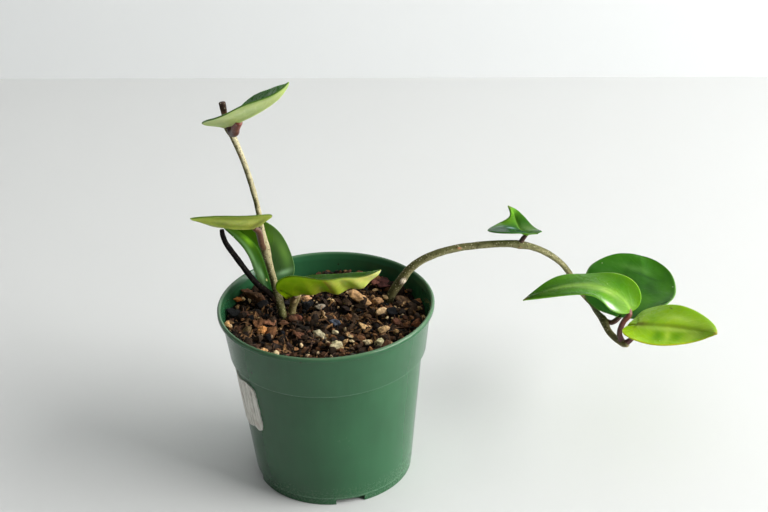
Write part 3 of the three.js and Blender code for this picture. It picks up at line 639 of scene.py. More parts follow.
def pot_plastic(colour, roughness):
    """Moulded plastic: nearly even colour, faint flow marks, fine orange peel, a painted
    highlight on the lip and along the steps of band and foot, dust near the floor and a few
    dark specks."""
    look = Finish("pot_plastic", IOR=1.5, Specular_IOR_Level=0.4)
    place = look.objects()
    broad = look.noise(place, 26, 2)
    fine = look.noise(place, 0.8, 3)
    flow = look.noise(look.objects((1, 1, 0.12)), 3.2, 2)
    shade = look.mix(look.span(broad, 0.3, 0.7), colour * 0.88, colour * 1.12)
    shade = look.mix(look.span(flow, 0.35, 0.75, 0, 0.2), shade, colour * 1.3)
    height = look.axis(place, "Z")
    # Painted highlight along the top of the lip.
    shade = look.mix(look.span(height, *LIP_HIGHLIGHT_Z, 0, 0.75), shade, srgb(84, 116, 84))
    # Painted highlight along the rounded steps of band and foot, broken up by fine noise.
    steps = [look.times(look.span(height, z - 0.7, z - 0.1),
                        look.span(height, z + 0.7, z + 0.1))
             for z in (BAND_BOTTOM_Z, FOOT_HEIGHT)]
    step_highlight = look.times(look.add(*steps), look.span(fine, 0.3, 0.6, 0.25, 0.6))
    shade = look.mix(step_highlight, shade, srgb(104, 146, 116))
    dust = look.times(look.span(height, 12, 1), look.span(fine, 0.45, 0.75))
    shade = look.mix(look.times(dust, 0.16), shade, srgb(120, 118, 105))
    specks = look.cells(place, 13)
    shade = look.mix(look.span(specks, 0.03, 0.045, 0.75, 0), shade, srgb(36, 26, 20))
    rough = look.span(broad, 0.25, 0.75, roughness * 0.85, roughness * 1.2)
    rough = look.add(rough, look.span(fine, 0.4, 0.8, 0, 0.06))
    rough = look.add(rough, look.times(dust, 0.3))
    dents = look.bump(look.noise(place, 12, 1), 0.1)
    return look.finish(shade, rough, look.bump(fine, 0.008, dents))


def torn_paper():
    """Grey-white paper: upright streaks where its face is peeled, long fibres, creases, pink
    and brown stains and a pale torn edge."""
    look = Finish("torn_paper", Specular_IOR_Level=0.2)
    place = look.objects()
    fibres = look.noise(look.objects((1, 1, 0.2)), 0.5, 3, 0.6)
    streaks = look.noise(look.objects((1, 1, 0.09)), 1.7, 3, 0.3)
    stains = look.noise(place, 6, 3)
    crease = look.noise(look.objects((1, 1, 0.3)), 5, 2)
    shade = look.mix(look.span(fibres, 0.3, 0.7), srgb(188, 186, 176), srgb(232, 230, 220))
    shade = look.mix(look.span(streaks, 0.42, 0.62, 0, 0.8), shade, srgb(244, 242, 234))
    shade = look.mix(look.span(streaks, 0.4, 0.28, 0, 0.6), shade, srgb(128, 122, 110))
    shade = look.mix(look.span(stains, 0.52, 0.7, 0, 0.5), shade, srgb(168, 140, 126))
    edge = look.attribute("place", "Vector")
    shade = look.mix(look.span(look.axis(edge, "X"), 0.92, 1, 0, 0.7), shade,
                     srgb(218, 216, 208))
    folds = look.bump(streaks, 0.25, look.bump(crease, 0.5))
    return look.finish(shade, 0.85, look.bump(fibres, 0.08, folds))


def painted(name, pitch, depth, roughness, contrast, **numbers):
    """The paint kept at each point, broken up by noise of one pitch and its bump."""
    look = Finish(name, **numbers)
    place = look.objects()
    paint = look.attribute("tint")
    coarse = look.noise(place, pitch, 4)
    fine = look.noise(place, pitch / 5, 3)
    dark = look.filtered(paint, (1 - contrast,) * 3)
    light = look.filtered(paint, (1 + contrast,) * 3)
    shade = look.mix(look.span(coarse, 0.3, 0.7), dark, light)
    grain = look.bump(fine, depth / 3, look.bump(coarse, depth))
    rough = look.span(coarse, 0.3, 0.7, roughness - 0.08, roughness + 0.08)
    return look.finish(shade, rough, grain)


def bark(name, roughness, speck_colour, pale, dark, ridge_depth, gloss):
    """Thin stem bark: the paint kept at each point, lengthwise ridges, and pale and dark
    specks with the given strengths."""
    look = Finish(name, Specular_IOR_Level=gloss)
    place = look.objects()
    run = look.attribute("place", "Vector")
    ridges = look.noise(look.node("Mapping", "Vector", {}, Vector=run, Scale=(1, 1, 0.12)),
                        0.5, 4, 0.4)
    blotches = look.noise(place, 1.7, 4)
    paint = look.attribute("tint")
    shade = look.mix(look.span(blotches, 0.35, 0.7, 0, 0.7), paint,
                     look.filtered(paint, (0.5, 0.48, 0.42)))
    shade = look.mix(look.span(ridges, 0.35, 0.7, 0, 0.45), shade,
                     look.filtered(paint, (1.4, 1.36, 1.28)))
    spots = look.cells(place, 1.15)
    shade = look.mix(look.span(spots, 0.22, 0.36, dark, 0), shade,
                     look.filtered(paint, (0.3, 0.26, 0.2)))
    specks = look.cells(look.node("Mapping", "Vector", {}, Vector=place, Location=(5, 3, 1)),
                        1.3)
    shade = look.mix(look.span(specks, 0.16, 0.28, pale, 0), shade, speck_colour)
    low = look.bump(ridges, ridge_depth)
    high = look.bump(look.span(specks, 0.14, 0.34, 1, 0), 0.08, low)
    return look.finish(shade, roughness, high)


def leaf_skin(name, gloss, glow, shine):
    """Waxy leaf: the paint kept at each point, cell mottling, faint side veins that run
    forward from the midrib, a few pale flecks, and a smoother upper side."""
    look = Finish(name, Subsurface_Weight=glow, Subsurface_Scale=0.004, IOR=1.45,
                  Subsurface_Radius=(0.7, 1.0, 0.15), Specular_IOR_Level=shine)
    place = look.objects()
    paint = look.attribute("tint")
    leaf = look.attribute("place", "Vector")
    across = look.reckon("ABSOLUTE", look.axis(leaf, "X"))
    upper = look.axis(leaf, "Z")
    warp = look.noise(place, 7, 3)
    slant = look.reckon("SUBTRACT", look.axis(leaf, "Y"), look.times(across, VEIN_SLANT))
    slant = look.add(slant, look.times(warp, 0.14))
    wave = look.reckon("SINE", look.times(slant, VEIN_WAVES))
    vein = look.times(look.span(wave, 0.6, 1.0), look.span(across, 0.92, 0.5))
    mottle = look.noise(place, 3.0, 5)
    broad = look.noise(place, 11, 2)
    fine = look.noise(place, 0.4, 2)
    shade = look.mix(look.span(mottle, 0.32, 0.68, 0, 0.5), paint,
                     look.filtered(paint, (0.66, 0.8, 0.6)))
    shade = look.mix(look.span(broad, 0.4, 0.7, 0, 0.5), shade,
                     look.filtered(paint, (1.35, 1.18, 1.1)))
    shade = look.mix(look.span(fine, 0.35, 0.75, 0, 0.25), shade,
                     look.filtered(paint, (1.25, 1.2, 1.2)))
    shade = look.mix(look.times(vein, 0.12), shade,
                     look.filtered(paint, (1.5, 1.3, 1.5)))
    flecks = look.cells(place, 9.5)
    shade = look.mix(look.span(flecks, 0.022, 0.034, 0.7, 0), shade, srgb(205, 215, 170))
    rough = look.span(upper, 0, 1, gloss + 0.2, gloss)
    rough = look.add(rough, look.span(mottle, 0.3, 0.7, -0.03, 0.05))
    relief = look.bump(broad, 0.35)
    relief = look.bump(mottle, 0.08, relief)
    relief = look.bump(vein, 0.04, relief)
    return look.finish(shade, rough, look.bump(fine, 0.015, relief))


# ------------------------------------------------------------------ pot and label


def wall_radius(z):
    """Radius of the pot's outer face: straight from foot to band, straight again to the lip."""
    taper = BODY_TOP_RADIUS - BODY_BOTTOM_RADIUS
    body = BODY_BOTTOM_RADIUS + taper * (z - FOOT_HEIGHT) / (BAND_BOTTOM_Z - FOOT_HEIGHT)
    rise = (z - BAND_BOTTOM_Z) / (POT_HEIGHT - LIP_HEIGHT - BAND_BOTTOM_Z)
    band = BAND_BOTTOM_RADIUS + (BAND_TOP_RADIUS - BAND_BOTTOM_RADIUS) * rise
    return np.where(z < BAND_BOTTOM_Z, body, np.minimum(band, BAND_TOP_RADIUS))


def inner_radius(z):
    """Radius of the pot's inner face."""
    return wall_radius(z) - POT_WALL


def rounded(corners, radius, steps):
    """A profile with each inner corner replaced by a curve: the quadratic arc between the
    two points that lie radius, or a third of the edge, before and after the corner."""
    corners = np.array(corners, float)
    edges = np.diff(corners, axis=0)
    lengths = np.linalg.norm(edges, axis=1, keepdims=True)
    cut = np.minimum(radius, lengths / 3)
    before = corners[1:-1] - edges[:-1] / lengths[:-1] * cut[:-1]
    after = corners[1:-1] + edges[1:] / lengths[1:] * cut[1:]
    t = np.linspace(0, 1, steps)[None, :, None]
    arcs = before[:, None] * (1 - t) ** 2 + 2 * corners[1:-1, None] * t * (1 - t)
    arcs = arcs + after[:, None] * t**2
    return np.concatenate([corners[:1], arcs.reshape(-1, 2), corners[-1:]])


def pot_profile():
    """Radius and height round the wall's section, from the pad's rim up outside and down
    inside to the floor's rim."""
    lip = POT_HEIGHT - LIP_HEIGHT
    step = BAND_BOTTOM_Z - POT_WALL
    floor = FLOOR_Z + POT_WALL
    return rounded(
        [
            (PAD_RADIUS - 4, 0), (PAD_RADIUS, 0), (PAD_RADIUS + 1.5, FLOOR_Z),
            (FOOT_RADIUS - 1.1, FLOOR_Z), (FOOT_RADIUS - 0.9, 0), (FOOT_RADIUS, 0),
            (FOOT_RADIUS + 0.1, FOOT_HEIGHT - 0.4), (BODY_BOTTOM_RADIUS, FOOT_HEIGHT),
            (BODY_TOP_RADIUS, BAND_BOTTOM_Z - 0.5),
            (BODY_TOP_RADIUS + 0.3, BAND_BOTTOM_Z - 0.1), (BAND_BOTTOM_RADIUS, BAND_BOTTOM_Z),
            (BAND_TOP_RADIUS, lip), (LIP_RADIUS - 0.3, lip), (LIP_RADIUS, lip + 0.5),
            (LIP_RADIUS, POT_HEIGHT - 0.7), (LIP_RADIUS - 0.9, POT_HEIGHT),
            (LIP_INNER_RADIUS, POT_HEIGHT - 0.5), (BAND_TOP_RADIUS - POT_WALL, lip - 0.6),
            (inner_radius(BAND_BOTTOM_Z), BAND_BOTTOM_Z + 0.3),
            (inner_radius(step), step - 0.6), (inner_radius(floor), floor),
            (PAD_RADIUS + 0.9, floor), (PAD_RADIUS - 0.6, POT_WALL),
            (PAD_RADIUS - 4, POT_WALL),
        ],
        EDGE_ROUNDING, EDGE_STEPS,
    )


def notch_and_drain_cutter():
    """One mesh of four boxes through the foot ring and four upright rods through the floor."""
    corners = np.array(list(np.ndindex(2, 2, 2)), float) - 0.5
    box = corners * (NOTCH_DEPTH, NOTCH_WIDTH, 2 * NOTCH_HEIGHT) + (FOOT_RADIUS, 0, 0)
    box_faces = np.array([(0, 1, 3, 2), (4, 6, 7, 5), (0, 4, 5, 1), (2, 3, 7, 6),
                          (0, 2, 6, 4), (1, 5, 7, 3)])
    sides = DRAIN_SIDES
    rod_height = np.array(DRAIN_CUT)[:, None]
    rod = rings(DRAIN_RADIUS, rod_height, sides).reshape(-1, 3) + (DRAIN_CENTRE, 0, 0)
    rod_sides = ring_faces(2, sides)
    rod_ends = np.array([np.arange(sides)[::-1], np.arange(sides) + sides])
    points, quads, ends = [], [], []
    for k, angle in enumerate(NOTCH_TURNS):
        spin = np.array([[math.cos(angle), math.sin(angle), 0],
                         [-math.sin(angle), math.cos(angle), 0], [0, 0, 1]])
        start = k * (len(box) + len(rod))
        points.append(np.concatenate([box, rod]) @ spin)
        quads.append(np.concatenate([box_faces, rod_sides + len(box)]) + start)
        ends.append(rod_ends + len(box) + start)
    mesh = make_mesh("pot_cutter", np.concatenate(points), np.concatenate(quads),
                     np.concatenate(ends))
    return bpy.data.objects.new("pot_cutter", mesh)


def cut_away(piece, cutter):
    """Takes the cutter's shape out of the piece for good, and deletes the cutter."""
    bpy.context.scene.collection.objects.link(cutter)
    cut = piece.modifiers.new("cut", "BOOLEAN")
    cut.operation = "DIFFERENCE"
    cut.solver = "EXACT"
    cut.object = cutter
    graph = bpy.context.evaluated_depsgraph_get()
    result = bpy.data.meshes.new_from_object(piece.evaluated_get(graph))
    result.name = piece.data.name
    piece.modifiers.clear()
    piece.data = result
    bpy.data.objects.remove(cutter)


def build_pot(settings):
    """The profile turned about the pot's axis, closed by a disc on either side of the pad,
    with the notches and drain holes cut out."""
    profile = pot_profile()
    shell = rings(profile[:, :1], profile[:, 1:], settings.sides)
    points = np.concatenate([shell.reshape(-1, 3), [(0, 0, 0), (0, 0, POT_WALL)]])
    mesh = make_mesh("pot_shell", points, *capped_faces(len(profile), settings.sides))
    material = pot_plastic(np.array(settings.colour), settings.roughness)
    piece = make_piece(mesh, ["pot"], material)
    cut_away(piece, notch_and_drain_cutter())
    piece.data.shade_smooth()
    piece.data.set_sharp_from_angle(angle=math.radians(POT_SHARP_ANGLE))


def build_label():
    """Rings of the torn outline drawn in towards its middle, wrapped round the wall: the
    radius is the wall's plus a gap, the paper's thickness and the lift of its wrinkles."""
    count, rows = LABEL_POINTS, LABEL_RINGS
    outline = np.array(LABEL_OUTLINE + LABEL_OUTLINE[:1], float)
    lengths = np.linalg.norm(np.diff(outline, axis=0), axis=1)
    run = np.concatenate([[0], np.cumsum(lengths)])
    at = np.linspace(0, run[-1], count, endpoint=False)
    edge = np.stack([np.interp(at, run, outline[:, k]) for k in (0, 1)], -1)
    tears = layered_noise(np.c_[edge, at * 0], 2.6, 3, 5)[:, None]
    edge = edge + (edge - LABEL_MIDDLE) * LABEL_TEARS * tears
    share = np.linspace(0, 1, rows)[1:, None, None]
    flat = np.array(LABEL_MIDDLE) + (edge[None] - LABEL_MIDDLE) * share
    middle = np.array(LABEL_MIDDLE)[None]
    sheet = np.concatenate([flat.reshape(-1, 2), middle])
    wrinkle = layered_noise(np.c_[sheet[:, 0] * 0.8, sheet[:, 1] * 0.3, 0 * sheet[:, 0]], 5)
    angle, z = np.radians(sheet[:, 0]), sheet[:, 1]
    both = []
    for lift in (LABEL_LIFT + LABEL_WRINKLE * wrinkle + LABEL_THICKNESS, LABEL_BACK_LIFT):
        radius = wall_radius(z) + lift
        both.append(np.stack([radius * np.cos(angle), radius * np.sin(angle), z], -1))
    points = np.concatenate(both)
    total = len(sheet)
    top = ring_faces(rows - 1, count)
    inner = np.arange(count)
    rim = inner + (rows - 2) * count
    sides = np.stack([rim, np.roll(rim, -1), np.roll(rim, -1) + total, rim + total], -1)
    mesh = make_mesh(
        "paper_label", points, top, top[:, ::-1] + total, sides[:, ::-1],
        fan_faces(inner[::-1], total - 1), fan_faces(inner, total - 1) + total,
    )
    edges = np.concatenate([np.repeat(share.ravel(), count), [0]])
    place = np.c_[np.tile(edges, 2), np.zeros((2 * total, 2))]
    make_piece(mesh, ["label"], torn_paper(), place=place, sharp=60)


# ------------------------------------------------------------------ potting mix


def soil_top(x, y):
    """Edge height - dish * (1 - (r / wall)^2) + slope * (x, y) + swell of one broad wave and
    one slanted wave."""
    a, b, c, d = SWELL_PITCH
    dish = SOIL_DISH * (1 - (x * x + y * y) / inner_radius(SOIL_EDGE_Z) ** 2)
    slope = SOIL_SLOPE[0] * x + SOIL_SLOPE[1] * y
    swell = np.sin(a * x + 1) * np.cos(b * y - 0.6) + 0.6 * np.sin(c * x - d * y)
    return SOIL_EDGE_Z - dish + slope + SOIL_SWELL * swell


def soil_relief(x, y):
    """Hollows and heaps of the loose mix, in millimetres over its mean top."""
    flat = np.stack([x, y, 0 * x], -1)
    return 1.9 * value_noise(flat, 8.5, 31) + 0.9 * value_noise(flat, 3.8, 32)


def build_soil_bed(settings):
    """A closed body: rings of the top, at the soil height less its crumbs, and below it the
    rings of the wall and floor that hold it."""
    sides = BED_SIDES
    edge = inner_radius(SOIL_EDGE_LOW_Z) - BED_GAP
    reach = edge * np.linspace(1, 0, BED_RINGS, endpoint=False)[:, None]
    flat = rings(reach, 0.0, sides)
    x, y = flat[..., 0], flat[..., 1]
    crumbs = layered_noise(flat, 2.2, 3, 11)
    z = soil_top(x, y) + soil_relief(x, y) - BED_DEPTH + settings.crumb * crumbs
    floor = FLOOR_Z + POT_WALL + BED_GAP
    step = BAND_BOTTOM_Z - POT_WALL
    below = np.array([
        (PAD_RADIUS - 0.9, POT_WALL + BED_GAP), (PAD_RADIUS + 0.5, floor),
        (inner_radius(floor) - BED_GAP, floor), (inner_radius(step) - BED_GAP, step - 0.7),
        (inner_radius(BAND_BOTTOM_Z) - BED_GAP, BAND_BOTTOM_Z + 0.7),
    ])
    under = rings(below[:, :1], below[:, 1:], sides)
    grid = np.concatenate([under, np.stack([x, y, z], -1)])
    centre = [(0, 0, POT_WALL + BED_GAP), (0, 0, z[-1].mean())]
    points = np.concatenate([grid.reshape(-1, 3), centre])
    mesh = make_mesh("soil_bed", points, *capped_faces(len(grid), sides))
    share = smooth(layered_noise(points, 4, 3, 3), -0.5, 0.8)
    tint = blend(srgb(15, 11, 9), srgb(44, 30, 21), share)
    look = painted("soil_crumbs", 1.2, 0.9, 0.95, 0.5, Specular_IOR_Level=0.15)
    make_piece(mesh, ["soil"], look, tint)


def unit_lump(rows, sides):
    """Points and faces of a ball of rings between two poles."""
    lat = math.pi * (np.arange(1, rows + 1) / (rows + 1))[:, None]
    ball = rings(np.sin(lat), np.cos(lat), sides).reshape(-1, 3)
    points = np.concatenate([ball, [(0, 0, 1), (0, 0, -1)]])
    walls = ring_faces(rows, sides)[:, ::-1]
    first = np.arange(sides)
    ends = np.concatenate([fan_faces(first, rows * sides),
                           fan_faces(first[::-1] + (rows - 1) * sides, rows * sides + 1)])
    return points, walls, ends


def turned(count, tilt, rng, spread=math.pi):
    """Random turns about the upright by up to the spread either way, after a random tilt of
    up to the given degrees."""
    about = rng.uniform(-spread, spread, count)
    lean = np.radians(tilt) * rng.uniform(-1, 1, count)
    c, s, k, w = np.cos(about), np.sin(about), np.cos(lean), np.sin(lean)
    zero = np.zeros(count)
    spin = np.array([[c, -s, zero], [s, c, zero], [zero, zero, zero + 1]])
    nod = np.array([[k, zero, w], [zero, zero + 1, zero], [-w, zero, k]])
    return np.einsum("abn,bcn->nac", spin, nod)


def lumps(name, places, sizes, turns, tints, detail, cuts, rough, look, seed, sharp):
    """Many lumps in one mesh: unit balls cut by random planes, so that a point in direction u
    lies at the least of 1 and offset / (normal . u), then roughened by noise of their own,
    scaled, turned and moved. Hollows get painted shade and ridges painted light."""
    rng = np.random.default_rng(seed)
    ball, walls, ends = unit_lump(*detail)
    count, corners = len(places), len(ball)
    facing = unit(rng.normal(size=(count, cuts, 3))) @ ball.T
    offsets = rng.uniform(*CUT_DEPTHS, (count, cuts, 1))
    reach = np.where(facing > 0.05, offsets / np.maximum(facing, 0.05), 1).min(1).clip(0, 1)
    reach = reach / reach.max(1, keepdims=True)
    drift = np.arange(count)[:, None, None] * np.array([7.3, 3.1, 5.7])
    wobble = layered_noise(ball[None] + drift, 0.6, 3, seed)
    reach = reach * (1 + rough * wobble)
    points = ball[None] * reach[..., None] * sizes[:, None]
    points = np.einsum("nab,npb->npa", turns, points) + places[:, None]
    starts = np.arange(count)[:, None, None] * corners
    mesh = make_mesh(name, points.reshape(-1, 3), (walls[None] + starts).reshape(-1, 4),
                     (ends[None] + starts).reshape(-1, 3))
    # Painted shade in the hollows and painted light on the ridges.
    tint = tints[:, None] * (1 + HOLLOW_PAINTED_SHADE * wobble[..., None])
    return make_piece(mesh, [], look, tint.clip(0, 1), sharp=sharp)


def scattered(count, reach, rng):
    """Random x and y, even over a disc of the given radius."""
    radius = reach * np.sqrt(rng.uniform(0, 1, count))
    turn = rng.uniform(0, TAU, count)
    return radius * np.cos(turn), radius * np.sin(turn)


def palette(colours, count, rng):
    """One of the colours for each piece, made lighter or darker at random."""
    table = np.array([srgb(*colour) for colour in colours])
    picked = table[rng.integers(0, len(table), count)]
    return picked * rng.uniform(0.65, 1.3, (count, 1))


# Loose pieces of the mix: name and setting, least and most half length, width and height as
# shares of it, tilt, rise over the mix, rings and sides, cutting planes, roughness, colours.
BROWNS = [(30, 23, 17), (48, 36, 24), (68, 49, 32), (94, 68, 42), (22, 18, 15)]
LOOSE_KINDS = [
    ("soil_grains", "grains", (0.3, 0.95), (0.6, 1.0), (0.5, 0.9), 90, 0.3, (3, 6), 3, 0.3,
     [*BROWNS, (124, 92, 62), (38, 34, 32)]),
    ("bark_shreds", "shreds", (1.3, 4.2), (0.13, 0.32), (0.08, 0.2), 42, 0.6, (5, 5), 3, 0.35,
     [*BROWNS, (122, 90, 56)]),
    ("bark_chunks", "chunks", (1.2, 4.0), (0.5, 0.85), (0.3, 0.65), 52, 0.5, (5, 8), 7, 0.22,
     [(50, 36, 25), (80, 53, 36), (104, 70, 44), (58, 43, 30), (34, 26, 20)]),
    ("pumice_grit", "grit", (0.45, 1.7), (0.7, 1.0), (0.6, 0.95), 60, 0.7, (5, 8), 6, 0.25,
     [(190, 158, 112), (160, 126, 86), (206, 180, 138), (140, 100, 64)]),
    ("charcoal_bits", "charcoal", (0.9, 2.8), (0.6, 0.95), (0.5, 0.9), 40, 0.2, (5, 8), 8,
     0.12, [(20, 20, 22), (30, 31, 35), (16, 15, 16)]),
]


def build_soil_chips(settings):
    """Loose pieces of the mix, each kind one mesh, spread evenly over its top and drawn in
    where they would reach the wall."""
    rng = np.random.default_rng(2898)
    wall = inner_radius(SOIL_EDGE_LOW_Z) - 0.4
    for row in LOOSE_KINDS:
        name, setting, length, width, height, tilt, rise, detail, cuts, rough, colours = row
        count = getattr(settings, setting)
        long = length[0] + (length[1] - length[0]) * rng.uniform(0, 1, count) ** SMALL_BIAS
        sizes = np.stack([long, long * rng.uniform(*width, count),
                          long * rng.uniform(*height, count)], -1)
        x, y = scattered(count, wall, rng)
        pull = np.minimum(1, (wall - long) / np.hypot(x, y))
        x, y = x * pull, y * pull
        lift = soil_relief(x, y) - 1.0 + sizes[:, 2] * (rise + rng.uniform(-0.5, 0.7, count))
        places = np.stack([x, y, soil_top(x, y) + lift], -1)
        look = painted(name, 0.8, 0.4, 0.88, 0.4, Specular_IOR_Level=0.2)
        lumps(name, places, sizes, turned(count, tilt, rng), palette(colours, count, rng),
              detail, cuts, rough, look, 17 + count, 35)


# The larger stones and chips on top: x, y, half length, height over width, and colour.
LARGE_CHIPS = [
    (16.2, 17.2, 5, 0.8, (186, 146, 100)), (4.5, -4, 2.7, 0.8, (70, 76, 90)),
    (-3.3, -13.7, 3.1, 0.7, (186, 176, 144)), (3.1, -30.2, 3.5, 0.8, (188, 176, 138)),
    (18, -8.5, 3.3, 0.55, (206, 168, 118)), (26.1, -14, 2.7, 0.75, (190, 156, 112)),
    (24.3, -25.7, 2.7, 0.8, (196, 186, 142)), (27, 2.6, 2.7, 0.8, (196, 164, 122)),
    (-10, 20.7, 3, 0.6, (172, 132, 94)), (-30.1, -9.8, 2.6, 0.8, (190, 132, 76)),
    (-47.2, -6.3, 2, 0.8, (206, 160, 106)), (-25.2, -36.5, 2, 0.8, (200, 178, 138)),
    (33.1, -6, 2.9, 0.7, (98, 62, 44)), (42.2, -13.1, 2.9, 0.7, (118, 72, 44)),
    (24.7, 15.8, 2.5, 0.8, (168, 128, 88)), (37.4, 13.6, 3.2, 0.7, (104, 80, 58)),
    (-34.9, 21.8, 3.4, 0.7, (86, 60, 38)), (13.1, 1.9, 2.6, 0.7, (84, 66, 50)),
    (-8.9, 14, 2.8, 0.8, (22, 22, 24)), (-18.1, -36.2, 3.2, 0.4, (124, 80, 68)),
    (3.6, -10.7, 1.8, 0.8, (214, 200, 160)), (18.4, -24.7, 1.6, 0.8, (206, 188, 146)),
    (32.4, -15.9, 1.2, 0.8, (196, 156, 104)), (-12.8, -40.8, 1.2, 0.8, (200, 166, 112)),
    (-30.4, -34, 1.8, 0.7, (190, 146, 96)), (-42.7, 17.9, 2, 0.8, (176, 110, 50)),
    (-37.6, -13.2, 2.9, 0.6, (96, 78, 48)), (-2.9, 13.3, 2.4, 0.7, (128, 118, 102)),
    (-5.5, 5.6, 4, 0.5, (92, 70, 50)), (-14.7, 4.5, 3, 0.5, (104, 62, 46)),
    (-27.1, -1.8, 4, 0.35, (136, 92, 66)), (31.8, 1.9, 3, 0.8, (20, 21, 24)),
    (44.8, 11.7, 2, 0.7, (150, 100, 58)), (25.6, 34.7, 4, 0.6, (120, 74, 62)),
    (28.9, 33.1, 4.4, 0.4, (78, 44, 40)), (40.4, 22, 1.2, 0.8, (184, 128, 66)),
    (10.5, -17.2, 1.2, 0.7, (196, 176, 134)), (8, -22.6, 1.3, 0.7, (176, 142, 96)),
    (11.3, -23, 1.1, 0.7, (204, 184, 140)), (-12.4, 23.5, 1.4, 0.8, (196, 170, 130)),
    (-44.5, 6.1, 3.4, 0.6, (24, 26, 26)), (-31.5, 16.4, 3.4, 0.7, (26, 24, 24)),
    (-21, -0.9, 2.6, 0.4, (120, 84, 60)), (-13, -15.7, 2.4, 0.4, (110, 72, 52)),
    (-7.4, -20.4, 2.2, 0.45, (66, 44, 38)), (-33.5, -26, 2.2, 0.5, (70, 48, 34)),
    (10.7, -39.6, 2.4, 0.5, (70, 64, 56)), (19.3, -31.6, 1.5, 0.8, (164, 116, 72)),
    (14.8, -26.9, 1.4, 0.8, (60, 44, 32)), (37.5, -3.1, 1.9, 0.6, (88, 56, 38)),
    (34.9, -28.5, 1.6, 0.6, (96, 66, 44)), (-38.6, 5.4, 2.2, 0.7, (84, 52, 34)),
    (-1.5, -7.1, 2, 0.6, (40, 32, 27)), (16.4, 10.1, 2.2, 0.6, (58, 42, 32)),
    (9.2, 11.6, 2, 0.6, (38, 26, 20)), (-18.9, 17.9, 2.4, 0.6, (30, 26, 26)),
    (-46.3, -3.8, 1.8, 0.7, (120, 92, 60)), (-38.2, 25.4, 2.4, 0.5, (90, 60, 40)),
    (41.5, 21.3, 1.6, 0.7, (60, 44, 34)), (20, 3, 1.6, 0.7, (118, 90, 64)),
    (-17.8, -25.8, 2, 0.5, (52, 36, 28)), (5.4, -29.8, 1.5, 0.8, (188, 168, 120)),
]


def build_large_chips():
    """Stones and bark of a few millimetres, more finely cut than the loose ones."""
    rng = np.random.default_rng(77)
    table = np.array([row[:4] for row in LARGE_CHIPS], float)
    count = len(table)
    x, y, size, flat = table.T
    sizes = size[:, None] * np.c_[np.ones(count), rng.uniform(0.6, 0.85, count), flat * 0.8]
    places = np.stack([x, y, soil_top(x, y) + 0.35 * size * flat], -1)
    tints = np.array([srgb(*row[4]) for row in LARGE_CHIPS])
    look = painted("stone_skin", 1.1, 0.7, 0.85, 0.42, Specular_IOR_Level=0.25)
    turns = turned(count, 25, rng, 0.7)
    lumps("large_stones", places, STONE_GROWTH * sizes, turns, tints, (26, 36), 11, 0.2,
          look, 29, 180)


def build_fibres(settings):
    """Thin dry rootlets: each a bent, arched path of seven points with a three-sided
    section."""
    rng = np.random.default_rng(41)
    count, steps, sides = settings.fibres, 7, 3
    x, y = scattered(count, FIBRE_REACH, rng)
    heading = rng.uniform(0, TAU, count)
    bend = rng.uniform(-0.5, 0.5, count)
    length = rng.uniform(*FIBRE_LENGTH, count)
    s = np.linspace(0, 1, steps)
    angle = heading[:, None] + bend[:, None] * 3 * s
    step = length[:, None] / steps
    px = x[:, None] + np.cumsum(np.cos(angle) * step, 1)
    py = y[:, None] + np.cumsum(np.sin(angle) * step, 1)
    pull = np.minimum(1, FIBRE_END_REACH / np.hypot(px, py))
    px, py = px * pull, py * pull
    arch = rng.uniform(*FIBRE_ARCH, count)[:, None] * np.sin(math.pi * s)
    pz = soil_top(px, py) + soil_relief(px, py) * 0.5 + arch
    path = np.stack([px, py, pz], -1)
    out = np.stack([-np.sin(angle), np.cos(angle), 0 * angle], -1)
    radius = rng.uniform(*FIBRE_RADIUS, count)[:, None, None, None]
    turn = turns_round(sides)
    ring = (out[:, :, None] * np.cos(turn)[:, None]
            + np.array([0, 0, 1.0]) * np.sin(turn)[:, None])
    points = path[:, :, None] + radius * ring
    starts = np.arange(count)[:, None, None] * steps * sides
    walls = (ring_faces(steps, sides)[None] + starts).reshape(-1, 4)
    ends = np.array([[2, 1, 0], np.arange(3) + (steps - 1) * sides])
    ends = (ends[None] + starts).reshape(-1, 3)
    mesh = make_mesh("root_fibres", points.reshape(-1, 3), walls, ends)
    tint = np.repeat(palette([(120, 84, 56), (76, 50, 34), (150, 112, 76)], count, rng),
                     steps * sides, 0)
    look = painted("fibre_skin", 1.0, 0.1, 0.8, 0.3)
    make_piece(mesh, [], look, tint)


# ------------------------------------------------------------------ stems and stalks


def path_through(table, steps):
    """Places and radii along a centripetal Catmull-Rom curve through the table's points:
    knots spaced by the root of each chord, Hermite pieces between them, radius smooth."""
    table = np.array(table, float)
    inner = table[:, :3]
    points = np.concatenate([[2 * inner[0] - inner[1]], inner, [2 * inner[-1] - inner[-2]]])
    knots = np.sqrt(np.linalg.norm(np.diff(points, axis=0), axis=1))[:, None]
    p0, p1, p2, p3 = points[:-3], points[1:-2], points[2:-1], points[3:]
    d0, d1, d2 = knots[:-2], knots[1:-1], knots[2:]
    m1 = ((p1 - p0) / d0 - (p2 - p0) / (d0 + d1) + (p2 - p1) / d1) * d1
    m2 = ((p2 - p1) / d1 - (p3 - p1) / (d1 + d2) + (p3 - p2) / d2) * d1
    t = np.linspace(0, 1, steps, endpoint=False)[None, :, None]
    curve = (
        p1[:, None]
        + m1[:, None] * t
        + (-3 * p1 + 3 * p2 - 2 * m1 - m2)[:, None] * t**2
        + (2 * p1 - 2 * p2 + m1 + m2)[:, None] * t**3
    )
    share = smooth(t[..., 0])
    radius = table[:-1, 3, None] + np.diff(table[:, 3])[:, None] * share
    return (np.concatenate([curve.reshape(-1, 3), inner[-1:]]),
            np.concatenate([radius.ravel(), table[-1:, 3]]))


# A tube's end: how far each ring of its dome lies past the path, and how wide it is, and how
# far the pole lies, all as shares of the radius there.
TUBE_END = np.array([(0.16, 0.9), (0.27, 0.62), (0.32, 0.3)])
TUBE_POLE = 0.33


